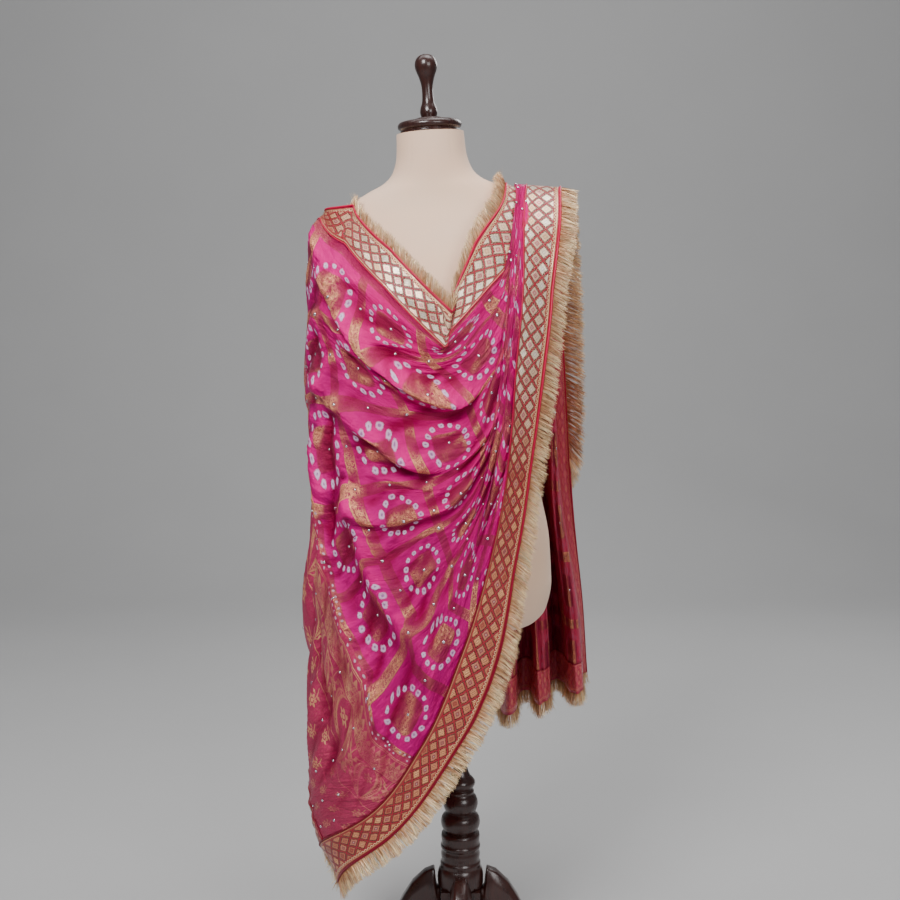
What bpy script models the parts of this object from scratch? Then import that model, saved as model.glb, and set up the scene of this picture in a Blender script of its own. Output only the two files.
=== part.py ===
"""Embroidered dupatta worn across a dress form on a turned wooden stand.

Metres, +Z up. The origin is on the floor under the post, and the form faces -Y.
The cloth is one rectangle. Its length u runs from the front end, over the chest and the
right-hand shoulder, down to the hem of the back fall. Its width v runs from the neckline
edge to the outer edge. Every fold is worked out on that rectangle, so the field, the
borders and the fringes all follow one surface.
"""
import math

import bmesh
import bpy
import numpy as np

# Driving sizes of the cloth
CLOTH_LENGTH = 2.00
CLOTH_WIDTH = 0.87
BORDER_WIDTH = 0.058
SHEET = 0.0014
SEAM_GAP = 0.0003

# The fringe: its heading band, its locks, how far it droops, and how far it stands up off
# the neck (start, full, hold and stop along the cloth)
FRINGE_LENGTH = 0.033
END_FRINGE_LENGTH = 0.022
HEADING_WIDTH = 0.004
LOCK_TIP_SHARE = 0.80
LOCKS_PER_ROW = 2
DROOP = 0.25
NECK_LIFT = 0.5
NECK_LIFT_SPAN = (0.55, 0.65, 1.20, 1.35)
NECK_EVENING = 5
OUTER_EVENING = 2

# Driving sizes of the form and its stand
FORM_BASE_HEIGHT = 0.53
FORM_LEAN = math.radians(-3.5)
TORSO_SIDES = 28
CAP_SIDES = 28
FINIAL_SIDES = 18
POST_SIDES = 20
LEG_COUNT = 4
HUB_HALF = 0.030
HUB_TOP = 0.1277
HUB_BASE = 0.070

# How finely the sheet is divided: rows up to each length, closer where it bends most
ROW_BANDS = (
    ("until", "rows"),
    (0.50, 9),
    (0.66, 4),
    (0.87, 5),
    (1.00, 3),
    (1.26, 9),
    (1.45, 4),
    (CLOTH_LENGTH, 10),
)
FIELD_COLUMNS = 28
BORDER_COLUMNS = 3

# Edges sharper than this are shaded as edges
SHARP_ANGLE = math.radians(40)

# The loose shape that the front drape follows, by height:
# centre x, half width, depth in front, depth behind
DRAPE_HULL = (
    ("height", "centre", "half", "front", "back"),
    (0.100, -0.018, 0.140, 0.110, 0.100),
    (0.165, -0.018, 0.165, 0.118, 0.108),
    (0.220, -0.018, 0.198, 0.124, 0.115),
    (0.280, -0.018, 0.211, 0.128, 0.122),
    (0.370, -0.018, 0.213, 0.131, 0.127),
    (0.500, -0.018, 0.212, 0.135, 0.130),
    (0.820, -0.018, 0.208, 0.138, 0.130),
    (0.970, -0.020, 0.205, 0.141, 0.132),
    (1.040, -0.021, 0.200, 0.132, 0.128),
    (1.100, -0.023, 0.194, 0.108, 0.116),
    (1.140, -0.024, 0.183, 0.084, 0.100),
    (1.160, -0.025, 0.163, 0.068, 0.078),
    (1.180, -0.026, 0.130, 0.040, 0.046),
    (1.195, -0.026, 0.095, 0.020, 0.024),
)

# Threads that run along the cloth, one row each, from the neckline edge (v 0) to the
# outer edge. Each cell is (degrees round the form from the front, height) at a station.
STATIONS = (0.00, 0.14, 0.28, 0.42, 0.56, 0.66, 0.76, 0.87, 0.97)
THREADS = (
    ("v", "end", "side", "low", "mid", "crest", "swag", "chest", "vee", "rise"),
    (0.000, (172, .600), (166, .760), (158, .92), (148, 1.06), (122, 1.168),
     (48, 1.156), (23, 1.095), (0, 1.015), (-12, 1.100)),
    (0.058, (162, .565), (157, .735), (148, .90), (132, 1.05), (84, 1.139),
     (46, 1.101), (25, 1.040), (3, .965), (-19.5, 1.050)),
    (0.184, (149, .500), (138, .650), (122, .79), (102, .92), (72, 1.010),
     (47, .985), (24, .955), (-2, .948), (-22.3, 1.036)),
    (0.310, (137, .440), (124, .610), (108, .76), (86, .86), (50, .882),
     (22, .865), (-1, .866), (-17, .930), (-24, 1.036)),
    (0.436, (126, .375), (104, .490), (82, .60), (57, .70), (26, .755),
     (3, .772), (-13.5, .826), (-20, .930), (-25.2, 1.036)),
    (0.562, (115, .310), (86, .405), (60, .51), (34, .615), (9, .690),
     (-7, .735), (-16, .822), (-21.5, .930), (-26.5, 1.036)),
    (0.688, (104, .245), (60, .325), (34, .44), (12, .560), (-4, .655),
     (-13, .735), (-19, .832), (-23, .936), (-27.8, 1.038)),
    (0.812, (90, .185), (36, .275), (11, .39), (-4, .520), (-15, .650),
     (-20.4, .748), (-23.4, .836), (-26, .938), (-30.1, 1.038)),
    (0.870, (69, .150), (24, .250), (-2, .38), (-18, .500), (-26, .635),
     (-31, .735), (-35, .828), (-40, .930), (-46, 1.030)),
)

# Over the right-hand shoulder and down the back. Each row is a station: length along the
# cloth, x of the neckline edge, of the first seam, of the second seam and of the outer
# edge, then y and height at the neckline edge and y and height at the outer edge.
SHOULDER = (
    ("u", "x_neck", "x_seam_1", "x_seam_2", "x_outer", "y_neck", "z_neck", "y_outer", "z_outer"),
    (1.055, 0.056, 0.0735, 0.0870, 0.1390, -0.062, 1.158, -0.066, 1.128),
    (1.120, 0.064, 0.0760, 0.0940, 0.1440, -0.004, 1.190, -0.006, 1.182),
    (1.190, 0.062, 0.0745, 0.1000, 0.1500, 0.062, 1.166, 0.062, 1.152),
    (1.300, 0.058, 0.0705, 0.1350, 0.1560, 0.128, 1.078, 0.122, 1.066),
    (1.450, 0.050, 0.0600, 0.1480, 0.1620, 0.150, 0.930, 0.148, 0.930),
    (1.650, 0.048, 0.0580, 0.1640, 0.1760, 0.158, 0.728, 0.156, 0.736),
    (1.850, 0.050, 0.0600, 0.1760, 0.1870, 0.160, 0.525, 0.158, 0.552),
    (2.000, 0.052, 0.0620, 0.1830, 0.1940, 0.160, 0.366, 0.158, 0.420),
)

# Pleats side by side: where along the cloth they start, are full and stop, the widths
# between which they lie, how many, their half depth where there is room for it, how far
# out their middle lies in half depths, whether their ends lie out (1) or in (-1), and how
# much their crests are rounded
PLEATS = (
    ("name", "start", "full", "hold", "stop", "v_from", "v_to", "count", "half_depth",
     "middle", "ends", "roundness"),
    ("shoulder_pleats", 0.66, 0.90, 1.14, 1.30, 0.120, 0.760, 3, 0.0040, 1, -1, 0.30),
    ("back_folds", 1.14, 1.50, 2.10, 2.20, 0.000, 0.870, 3, 0.0520, 0, 1, 0.80),
)

# Single folds, each along a path on the flat cloth: its points (u, v), half width,
# height, and how far its crest leans over to the side of larger v. They fade out at their
# ends and within a short reach beyond them.
FOLDS = (
    ("name", "path", "half_width", "height", "lean"),
    ("border_roll", ((0.54, 0.085), (0.70, 0.085), (0.83, 0.080)), 0.022, 0.007, 0.004),
    ("chest_roll", ((0.92, 0.080), (0.98, 0.085), (1.03, 0.085)), 0.020, 0.006, 0.004),
    ("upper_swag", ((0.58, 0.190), (0.65, 0.275), (0.74, 0.300), (0.88, 0.320)), 0.036, 0.019, 0.012),
    ("middle_swag", ((0.46, 0.300), (0.56, 0.375), (0.66, 0.400), (0.82, 0.410)), 0.042, 0.013, 0.008),
    ("lower_swag", ((0.44, 0.470), (0.55, 0.510), (0.68, 0.520), (0.80, 0.520)), 0.040, 0.010, 0.006),
    ("thigh_swag", ((0.42, 0.620), (0.52, 0.640), (0.66, 0.640)), 0.034, 0.008, 0.004),
    ("left_turn", ((0.53, 0.410), (0.47, 0.560), (0.41, 0.690), (0.385, 0.750)), 0.040, 0.016, -0.012),
    ("side_fold", ((0.30, 0.330), (0.26, 0.480), (0.20, 0.640)), 0.050, 0.009, 0.0),
    ("hip_fold", ((0.40, 0.200), (0.30, 0.260), (0.12, 0.330)), 0.050, 0.014, 0.0),
    ("back_fold", ((0.46, 0.090), (0.28, 0.120), (0.02, 0.150)), 0.045, 0.016, 0.0),
    ("back_fold_2", ((0.22, 0.240), (0.02, 0.265)), 0.040, 0.014, 0.0),
)

FOLD_STEPS = 25
FOLD_END = 0.1
FOLD_FULLNESS = 0.6
FOLD_REACH = 0.03

# The most that a curve's slope at a knot exceeds the gentler slope beside it
STEADY = 1.6

# Along these lengths the neckline strip passes from curved threads to straight ones, which
# make the V, and over the last of the chest the threads pass on to the shoulder table
STRAIGHT_FROM = (0.58, 0.66)
SHOULDER_LEAD = 0.06

# Turned shapes: height along the axis and radius
POST_PROFILE = (
    (0.5289, 0.0110), (0.3400, 0.0085), (0.3180, 0.0100), (0.3030, 0.0150),
    (0.2970, 0.0205), (0.2920, 0.0225), (0.2860, 0.0205), (0.2820, 0.0180),
    (0.2790, 0.0205), (0.2750, 0.0205), (0.2700, 0.0240), (0.2600, 0.0268),
    (0.2500, 0.0245), (0.2456, 0.0220), (0.2400, 0.0275), (0.2300, 0.0300),
    (0.2200, 0.0275), (0.2150, 0.0240), (0.2120, 0.0290), (0.1960, 0.0290),
    (0.1940, 0.0302), (0.1900, 0.0302), (0.1880, 0.0285), (0.1800, 0.0300),
    (0.1700, 0.0290), (0.1660, 0.0310), (0.1600, 0.0310), (0.1560, 0.0330),
    (0.1470, 0.0350), (0.1380, 0.0350), (0.1310, 0.0345), (0.1280, 0.0330),
)
CAP_PROFILE = (
    (0.7550, 0.0120), (0.7535, 0.0200), (0.7505, 0.0235), (0.7500, 0.0380),
    (0.7480, 0.0440), (0.7440, 0.0462), (0.7400, 0.0455), (0.7370, 0.0420),
    (0.7345, 0.0435), (0.7328, 0.0430),
)
FINIAL_PROFILE = (
    (0.8436, 0.0030), (0.8420, 0.0085), (0.8370, 0.0140), (0.8290, 0.0162),
    (0.8210, 0.0150), (0.8120, 0.0115), (0.8000, 0.0085), (0.7880, 0.0080),
    (0.7760, 0.0090), (0.7670, 0.0120), (0.7610, 0.0125), (0.7553, 0.0110),
)

# The torso by height above its base: half width, depth in front, depth behind
TORSO_SECTIONS = (
    ("height", "half", "front", "back"),
    (0.000, 0.0850, 0.0560, 0.0560),
    (0.008, 0.1120, 0.0740, 0.0740),
    (0.028, 0.1300, 0.0860, 0.0880),
    (0.070, 0.1400, 0.0930, 0.0960),
    (0.130, 0.1400, 0.0930, 0.0950),
    (0.210, 0.1290, 0.0880, 0.0840),
    (0.290, 0.1180, 0.0860, 0.0760),
    (0.360, 0.1240, 0.0940, 0.0800),
    (0.430, 0.1390, 0.1120, 0.0880),
    (0.480, 0.1480, 0.1160, 0.0920),
    (0.530, 0.1510, 0.1020, 0.0920),
    (0.580, 0.1520, 0.0800, 0.0840),
    (0.605, 0.1460, 0.0680, 0.0760),
    (0.625, 0.1340, 0.0590, 0.0670),
    (0.640, 0.1170, 0.0540, 0.0600),
    (0.653, 0.0950, 0.0510, 0.0550),
    (0.664, 0.0720, 0.0490, 0.0510),
    (0.680, 0.0570, 0.0480, 0.0490),
    (0.702, 0.0505, 0.0475, 0.0480),
    (0.7325, 0.0485, 0.0470, 0.0470),
)

# One leg, from the hub over its knee to the foot: reach, underside, top and half width
LEG_SECTIONS = (
    ("reach", "under", "top", "half_width"),
    (0.0303, 0.080, 0.127, 0.0140),
    (0.0365, 0.080, 0.127, 0.0150),
    (0.0400, 0.082, 0.158, 0.0160),
    (0.0550, 0.086, 0.152, 0.0165),
    (0.0740, 0.080, 0.134, 0.0165),
    (0.0880, 0.062, 0.112, 0.0160),
    (0.1020, 0.040, 0.084, 0.0150),
    (0.1250, 0.017, 0.054, 0.0140),
    (0.1600, 0.004, 0.034, 0.0140),
    (0.2000, 0.000, 0.024, 0.0165),
    (0.2460, 0.000, 0.019, 0.0150),
)

# Corners of a leg's section: side and height, from -1 to 1
LEG_CORNERS = ((1, 0.45), (0.55, 1), (-0.55, 1), (-1, 0.45), (-1, -1), (1, -1))

# name: red, green, blue, roughness, metallic
MATERIALS = {
    "field": (0.68, 0.016, 0.20, 0.45, 0.0),
    "border": (0.62, 0.27, 0.13, 0.35, 0.4),
    "fringe": (0.60, 0.42, 0.22, 0.50, 0.2),
    "form": (0.76, 0.68, 0.60, 0.80, 0.0),
    "wood": (0.025, 0.013, 0.012, 0.30, 0.0),
}


def rows_of(table):
    """The rows of a table without its column names."""
    return table[1:]


def spline(knots, values, at):
    """A smooth curve through values at knots, read at every place in at.

    Its slope at a knot is held to a few times the gentler slope beside it, so that it
    doesn't turn back where close knots meet wide ones.
    """
    knots = np.asarray(knots, float)
    values = np.asarray(values, float)
    slopes = np.empty_like(values)
    ahead = (values[1:] - values[:-1]) / np.diff(knots).reshape((-1,) + (1,) * (values.ndim - 1))
    slopes[0] = ahead[0]
    slopes[-1] = ahead[-1]
    middle = (ahead[1:] + ahead[:-1]) / 2
    reach = np.linalg.norm(ahead, axis=-1, keepdims=True)
    most = STEADY * np.minimum(reach[1:], reach[:-1])
    size = np.linalg.norm(middle, axis=-1, keepdims=True)
    slopes[1:-1] = middle * np.minimum(1.0, most / np.maximum(size, 1e-9))
    index = np.clip(np.searchsorted(knots, at, side="right") - 1, 0, len(knots) - 2)
    width = knots[index + 1] - knots[index]
    share = (np.asarray(at, float) - knots[index]) / width
    shape = (-1,) + (1,) * (values.ndim - 1)
    share = share.reshape(shape)
    width = width.reshape(shape)
    return ((2 * share**3 - 3 * share**2 + 1) * values[index]
            + (share**3 - 2 * share**2 + share) * width * slopes[index]
            + (3 * share**2 - 2 * share**3) * values[index + 1]
            + (share**3 - share**2) * width * slopes[index + 1])


def smooth_step(low, high, value):
    """0 below low, 1 above high, smooth between."""
    share = np.clip((value - low) / (high - low), 0.0, 1.0)
    return share * share * (3 - 2 * share)


def unit(vectors):
    """Vectors of length 1."""
    return vectors / np.maximum(np.linalg.norm(vectors, axis=-1, keepdims=True), 1e-9)


def on_hull(angle, height):
    """The place on the loose hull at an angle from the front and a height."""
    table = np.array(rows_of(DRAPE_HULL))
    centre, half, front, back = (np.interp(height, table[:, 0], table[:, k]) for k in range(1, 5))
    turn = np.radians(angle)
    depth = np.where(np.cos(turn) > 0, front, back)
    return np.stack([centre - half * np.sin(turn), -depth * np.cos(turn), height], axis=-1)


def chest_places(lengths, cells, edge):
    """Where the threads lie in front: smooth curves, but straight along the neckline's V."""
    curved = spline(STATIONS, cells, lengths)
    straight = np.empty_like(curved)
    for k in range(cells.shape[1]):
        for axis in range(2):
            straight[:, k, axis] = np.interp(lengths, STATIONS, cells[:, k, axis])
    share = smooth_step(*STRAIGHT_FROM, lengths)[:, None, None] * edge[:, None]
    flat = curved * (1 - share) + straight * share
    return on_hull(flat[..., 0], flat[..., 1])


def shoulder_places(width):
    """Where the threads lie at each row of the shoulder table."""
    share = width / CLOTH_WIDTH
    seams = (0, BORDER_WIDTH, CLOTH_WIDTH - BORDER_WIDTH, CLOTH_WIDTH)
    places = []
    for _, x_neck, x_seam_1, x_seam_2, x_outer, y_neck, z_neck, y_outer, z_outer in rows_of(SHOULDER):
        x = np.interp(width, seams, (x_neck, x_seam_1, x_seam_2, x_outer))
        y = y_neck + (y_outer - y_neck) * share
        z = z_neck + (z_outer - z_neck) * share
        places.append(np.stack([x, y, z], -1))
    return np.array(places)


def thread_places(lengths):
    """Where each thread lies at each of these lengths, before any fold."""
    threads = rows_of(THREADS)
    width = np.array([row[0] for row in threads])
    edge = (width <= BORDER_WIDTH).astype(float)
    cells = np.array([row[1:] for row in threads], float).transpose(1, 0, 2)
    chest_end = STATIONS[-1]
    in_front = chest_places(np.minimum(lengths, chest_end), cells, edge)
    before = np.array([chest_end - SHOULDER_LEAD, chest_end])
    knots = list(before) + [row[0] for row in rows_of(SHOULDER)]
    route = np.concatenate([chest_places(before, cells, edge), shoulder_places(width)])
    behind = spline(knots, route, np.maximum(lengths, chest_end))
    past = (lengths > chest_end).reshape(-1, 1, 1)
    return np.where(past, behind, in_front)


def frame_on(places):
    """Directions on a grid of places: along the cloth, across it and out of its face."""
    along = unit(np.gradient(places, axis=0))
    across = unit(np.gradient(places, axis=1))
    return along, across, unit(np.cross(across, along))


def fold_offset(lengths, widths, path):
    """For each place on the flat cloth, its signed distance from a path and its fade."""
    steps = np.linspace(0.0, 1.0, FOLD_STEPS)
    points = np.array(path)
    route = spline(np.linspace(0.0, 1.0, len(points)), points, steps)
    u, v = np.meshgrid(lengths, widths, indexing="ij")
    gap_u = u[..., None] - route[:, 0]
    gap_v = v[..., None] - route[:, 1]
    nearest = np.argmin(gap_u**2 + gap_v**2, axis=-1)
    heading = unit(np.gradient(route, axis=0))[nearest]
    pick_u = np.take_along_axis(gap_u, nearest[..., None], -1)[..., 0]
    pick_v = np.take_along_axis(gap_v, nearest[..., None], -1)[..., 0]
    side = heading[..., 0] * pick_v - heading[..., 1] * pick_u
    beyond = heading[..., 0] * pick_u + heading[..., 1] * pick_v
    share = FOLD_END + (1 - 2 * FOLD_END) * steps[nearest]
    fade = np.sin(np.pi * share) ** FOLD_FULLNESS
    return side, fade * np.exp(-(beyond / FOLD_REACH) ** 2)


def folded(lengths, widths):
    """The cloth's middle surface on a grid of lengths and widths."""
    threads = rows_of(THREADS)
    guides = thread_places(lengths).transpose(1, 0, 2)
    places = spline([row[0] for row in threads], guides, widths).transpose(1, 0, 2)
    _, across, out = frame_on(places)
    shift = np.zeros_like(places)
    spread = np.linalg.norm(np.gradient(places, axis=1), axis=-1) / np.gradient(widths)
    for _, path, half_width, height, lean in rows_of(FOLDS):
        side, fade = fold_offset(lengths, widths, path)
        bump = np.exp(-(side / half_width) ** 2) * fade * np.minimum(spread, 1.0)
        shift += out * (bump * height)[..., None] + across * (bump**2 * lean)[..., None]
    for row in rows_of(PLEATS):
        _, start, full, hold, stop, v_from, v_to, count, half_depth, middle, ends, roundness = row
        swell = smooth_step(start, full, lengths) * (1 - smooth_step(hold, stop, lengths))
        pitch = spread * (v_to - v_from) / count
        inside = (widths >= v_from) & (widths <= v_to)
        tightest = pitch[:, inside].min(axis=1)
        room = ((1 + roundness) * tightest / (2 * math.pi)) ** 2 / SHEET
        depth = (np.minimum(half_depth, room) * swell)[:, None]
        turn = 2 * math.pi * count * np.clip((widths - v_from) / (v_to - v_from), 0.0, 1.0)
        bulge = roundness * pitch / (4 * math.pi) * swell[:, None]
        shift += out * (depth * (middle + ends * np.cos(turn)))[..., None]
        shift += across * (bulge * np.sin(2 * turn))[..., None]
    return places + shift


def row_lengths():
    """Lengths of the rows, one of them on each end border's seam."""
    lengths = [0.0]
    for until, count in rows_of(ROW_BANDS):
        start = lengths[-1]
        lengths += [start + (until - start) * (k + 1) / count for k in range(count)]
    lengths = np.array(lengths)
    seam_rows = []
    for seam in (BORDER_WIDTH, CLOTH_LENGTH - BORDER_WIDTH):
        row = int(np.argmin(abs(lengths - seam)))
        lengths[row] = seam
        seam_rows.append(row)
    return lengths, seam_rows


def columns():
    """Widths of the columns: the two borders and the field between them."""
    first = np.linspace(0.0, BORDER_WIDTH, BORDER_COLUMNS + 1)
    field = np.linspace(BORDER_WIDTH, CLOTH_WIDTH - BORDER_WIDTH, FIELD_COLUMNS + 1)
    last = np.linspace(CLOTH_WIDTH - BORDER_WIDTH, CLOTH_WIDTH, BORDER_COLUMNS + 1)
    return np.concatenate([first, field[1:], last[1:]])


def material(name):
    """The sub-part's own Principled material."""
    red, green, blue, roughness, metallic = MATERIALS[name]
    made = bpy.data.materials.new(name)
    made.use_nodes = True
    shader = made.node_tree.nodes["Principled BSDF"]
    shader.inputs["Base Color"].default_value = (red, green, blue, 1.0)
    shader.inputs["Roughness"].default_value = roughness
    shader.inputs["Metallic"].default_value = metallic
    made.diffuse_color = (red, green, blue, 1.0)
    return made


def add_object(name, points, faces, finish, smooth=True):
    """An object with a closed mesh whose faces point out."""
    mesh = bpy.data.meshes.new(name)
    mesh.from_pydata([tuple(map(float, p)) for p in points], [], faces)
    work = bmesh.new()
    work.from_mesh(mesh)
    bmesh.ops.recalc_face_normals(work, faces=work.faces)
    work.to_mesh(mesh)
    work.free()
    if smooth:
        mesh.shade_smooth()
        mesh.set_sharp_from_angle(angle=SHARP_ANGLE)
    made = bpy.data.objects.new(name, mesh)
    made.data.materials.append(finish)
    bpy.context.scene.collection.objects.link(made)
    return made


def sheet_solid(name, places, normals, finish):
    """A sheet of even thickness on a grid of places.

    Neighbouring sheets split their rims along the same diagonals, so the gap between them
    stays even where the seam twists.
    """
    rows, cols = places.shape[:2]
    face = (places + normals * SHEET / 2).reshape(-1, 3)
    back = (places - normals * SHEET / 2).reshape(-1, 3)
    points = np.concatenate([face, back])
    shift = rows * cols

    def at(row, col):
        return row * cols + col

    faces = []
    for r in range(rows - 1):
        for c in range(cols - 1):
            halves = ((at(r, c), at(r, c + 1), at(r + 1, c + 1)),
                      (at(r, c), at(r + 1, c + 1), at(r + 1, c)))
            for half in halves:
                faces.append(half)
                faces.append(tuple(k + shift for k in reversed(half)))
    rim = [at(0, c) for c in range(cols)]
    rim += [at(r, cols - 1) for r in range(1, rows)]
    rim += [at(rows - 1, c) for c in range(cols - 2, -1, -1)]
    rim += [at(r, 0) for r in range(rows - 2, 0, -1)]
    for a, b in zip(rim, rim[1:] + rim[:1]):
        low, high = min(a, b), max(a, b)
        faces.append((low, high, high + shift))
        faces.append((low, high + shift, low + shift))
    return add_object(name, points, faces, finish)


def pulled_in(places, along, across, row_low, row_high, col_low, col_high):
    """A patch of the grid, drawn in by half a seam gap where it meets another piece."""
    rows = slice(row_low, row_high + 1)
    cols = slice(col_low, col_high + 1)
    patch = places[rows, cols].copy()
    half = SEAM_GAP / 2
    if row_low > 0:
        patch[0] += along[row_low, cols] * half
    if row_high < places.shape[0] - 1:
        patch[-1] -= along[row_high, cols] * half
    if col_low > 0:
        patch[:, 0] += across[rows, col_low] * half
    if col_high < places.shape[1] - 1:
        patch[:, -1] -= across[rows, col_high] * half
    return patch


def evened(vectors, reach):
    """Directions along an edge, each averaged with its neighbours."""
    steps = np.arange(-reach, reach + 1)
    weights = np.exp(-(steps / (reach / 2)) ** 2)
    first = np.repeat(vectors[:1], reach, 0)
    last = np.repeat(vectors[-1:], reach, 0)
    padded = np.concatenate([first, vectors, last])
    total = sum(w * padded[k:k + len(vectors)] for k, w in enumerate(weights))
    return unit(total)


def fringe(name, edge, outward, normals, length, locks_per_row, finish):
    """Flat locks on a narrow heading along an edge."""
    count = (len(edge) - 1) * locks_per_row
    at = np.arange(count + 1) / locks_per_row
    knots = np.arange(len(edge))
    root, aim, face = (np.stack([np.interp(at, knots, vectors[:, k]) for k in range(3)], -1)
                       for vectors in (edge, outward, normals))
    aim = unit(aim)
    face = unit(face)
    near = root + aim * SEAM_GAP
    far = near + aim * HEADING_WIDTH
    half = face * SHEET / 2
    points = np.concatenate([near + half, near - half, far + half, far - half])
    size = count + 1
    faces = []
    for k in range(count):
        n = k + 1
        faces.append((k, n, size + n, size + k))
        faces.append((k, 2 * size + k, 2 * size + n, n))
        faces.append((size + k, size + n, 3 * size + n, 3 * size + k))
    faces.append((0, size, 3 * size, 2 * size))
    faces.append((size - 1, 3 * size - 1, 4 * size - 1, 2 * size - 1))
    ends = far + aim * (length - HEADING_WIDTH)
    tips = []
    for k in range(count):
        middle = (ends[k] + ends[k + 1]) / 2
        side = (ends[k + 1] - ends[k]) / 2 * LOCK_TIP_SHARE
        tips += [middle - side, middle + side]
        a, b = 2 * size + k, 2 * size + k + 1
        c, d = 3 * size + k, 3 * size + k + 1
        left = 4 * size + 2 * k
        right = left + 1
        faces.append((a, left, right, b))
        faces.append((c, d, right, left))
        faces.append((a, c, left))
        faces.append((b, right, d))
    return add_object(name, np.concatenate([points, np.array(tips)]), faces, finish, smooth=False)


def dupatta():
    """The field, the four borders and the four fringes of the cloth."""
    lengths, (front_seam, back_seam) = row_lengths()
    widths = columns()
    places = folded(lengths, widths)
    along, across, out = frame_on(places)
    last_row, last_col = len(lengths) - 1, len(widths) - 1
    neck_seam, outer_seam = BORDER_COLUMNS, last_col - BORDER_COLUMNS
    field, border, gold = material("field"), material("border"), material("fringe")

    patches = (
        ("dupatta_field", front_seam, back_seam, neck_seam, outer_seam, field),
        ("border_neckline", 0, last_row, 0, neck_seam, border),
        ("border_outer", 0, last_row, outer_seam, last_col, border),
        ("border_front_end", 0, front_seam, neck_seam, outer_seam, border),
        ("border_back_end", back_seam, last_row, neck_seam, outer_seam, border),
    )
    for name, row_low, row_high, col_low, col_high, finish in patches:
        patch = pulled_in(places, along, across, row_low, row_high, col_low, col_high)
        normals = out[row_low:row_high + 1, col_low:col_high + 1]
        sheet_solid(name, patch, normals, finish)

    droop = np.array([0.0, 0.0, -DROOP])
    start, full, hold, stop = NECK_LIFT_SPAN
    lift = NECK_LIFT * smooth_step(start, full, lengths) * (1 - smooth_step(hold, stop, lengths))
    rise = lift[:, None] * np.array([0.0, 0.0, 1.0])
    neck_aim = evened(unit(rise - across[:, 0]), NECK_EVENING)
    outer_aim = evened(unit(droop + across[:, -1]), OUTER_EVENING)
    front_aim = unit(droop - along[0])
    back_aim = unit(droop + along[-1])
    long_locks = (FRINGE_LENGTH, LOCKS_PER_ROW, gold)
    short_locks = (END_FRINGE_LENGTH, 1, gold)
    fringe("fringe_neckline", places[:, 0], neck_aim, out[:, 0], *long_locks)
    fringe("fringe_outer", places[:, -1], outer_aim, out[:, -1], *long_locks)
    fringe("fringe_front_end", places[0], front_aim, out[0], *short_locks)
    fringe("fringe_back_end", places[-1], back_aim, out[-1], *short_locks)


def stacked(name, rings, finish):
    """A closed solid through rings of points, top to bottom."""
    sides = len(rings[0])
    points = [p for ring in rings for p in ring]
    faces = []
    for k in range(len(rings) - 1):
        for s in range(sides):
            n = (s + 1) % sides
            faces.append((k * sides + s, k * sides + n, (k + 1) * sides + n, (k + 1) * sides + s))
    faces.append(tuple(range(sides)))
    faces.append(tuple((len(rings) - 1) * sides + s for s in reversed(range(sides))))
    return add_object(name, points, faces, finish)


def turned(name, profile, sides, finish):
    """A solid turned about the vertical axis."""
    turns = [2 * math.pi * s / sides for s in range(sides)]
    rings = [[(r * math.cos(t), r * math.sin(t), z) for t in turns] for z, r in profile]
    return stacked(name, rings, finish)


def form_and_stand():
    """The leaning torso with its cap and finial, and the upright post with its legs."""
    cream, wood = material("form"), material("wood")
    turns = [2 * math.pi * s / TORSO_SIDES for s in range(TORSO_SIDES)]
    rings = []
    for height, half, front, back in rows_of(TORSO_SECTIONS):
        depths = [front if math.cos(t) > 0 else back for t in turns]
        rings.append([(half * math.sin(t), -depth * math.cos(t), height)
                      for t, depth in zip(turns, depths)])
    leaning = [stacked("torso_form", rings, cream),
               turned("neck_cap", CAP_PROFILE, CAP_SIDES, wood),
               turned("finial", FINIAL_PROFILE, FINIAL_SIDES, wood)]
    for piece in leaning:
        piece.location = (0.0, 0.0, FORM_BASE_HEIGHT)
        piece.rotation_euler = (0.0, FORM_LEAN, 0.0)
    turned("post", POST_PROFILE, POST_SIDES, wood)

    corners = ((1, 1), (-1, 1), (-1, -1), (1, -1))
    hub_rings = [[(x * HUB_HALF, y * HUB_HALF, z) for x, y in corners] for z in (HUB_TOP, HUB_BASE)]
    stacked("hub", hub_rings, wood)
    for k in range(LEG_COUNT):
        leg = leg_solid("leg_%d" % (k + 1), wood)
        leg.rotation_euler = (0.0, 0.0, 2 * math.pi * k / LEG_COUNT)


def leg_solid(name, finish):
    """A curved leg along +X with a flat underside at its foot."""
    rings = []
    for reach, under, top, half_width in rows_of(LEG_SECTIONS):
        middle, half_height = (top + under) / 2, (top - under) / 2
        rings.append([(reach, side * half_width, middle + up * half_height)
                      for side, up in LEG_CORNERS])
    return stacked(name, rings, finish)


def main():
    for old in list(bpy.data.objects):
        bpy.data.objects.remove(old, do_unlink=True)
    dupatta()
    form_and_stand()


main()
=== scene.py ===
"""Looks of the embroidered dupatta on its dress form.

Metres, +Z up, the form faces -Y. The cloth is worked out on its flat rectangle: u runs
along its length from the front end, over the chest and the right-hand shoulder, down to
the hem of the back fall; v runs across it from the neckline edge to the outer edge.
"""
import math

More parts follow.
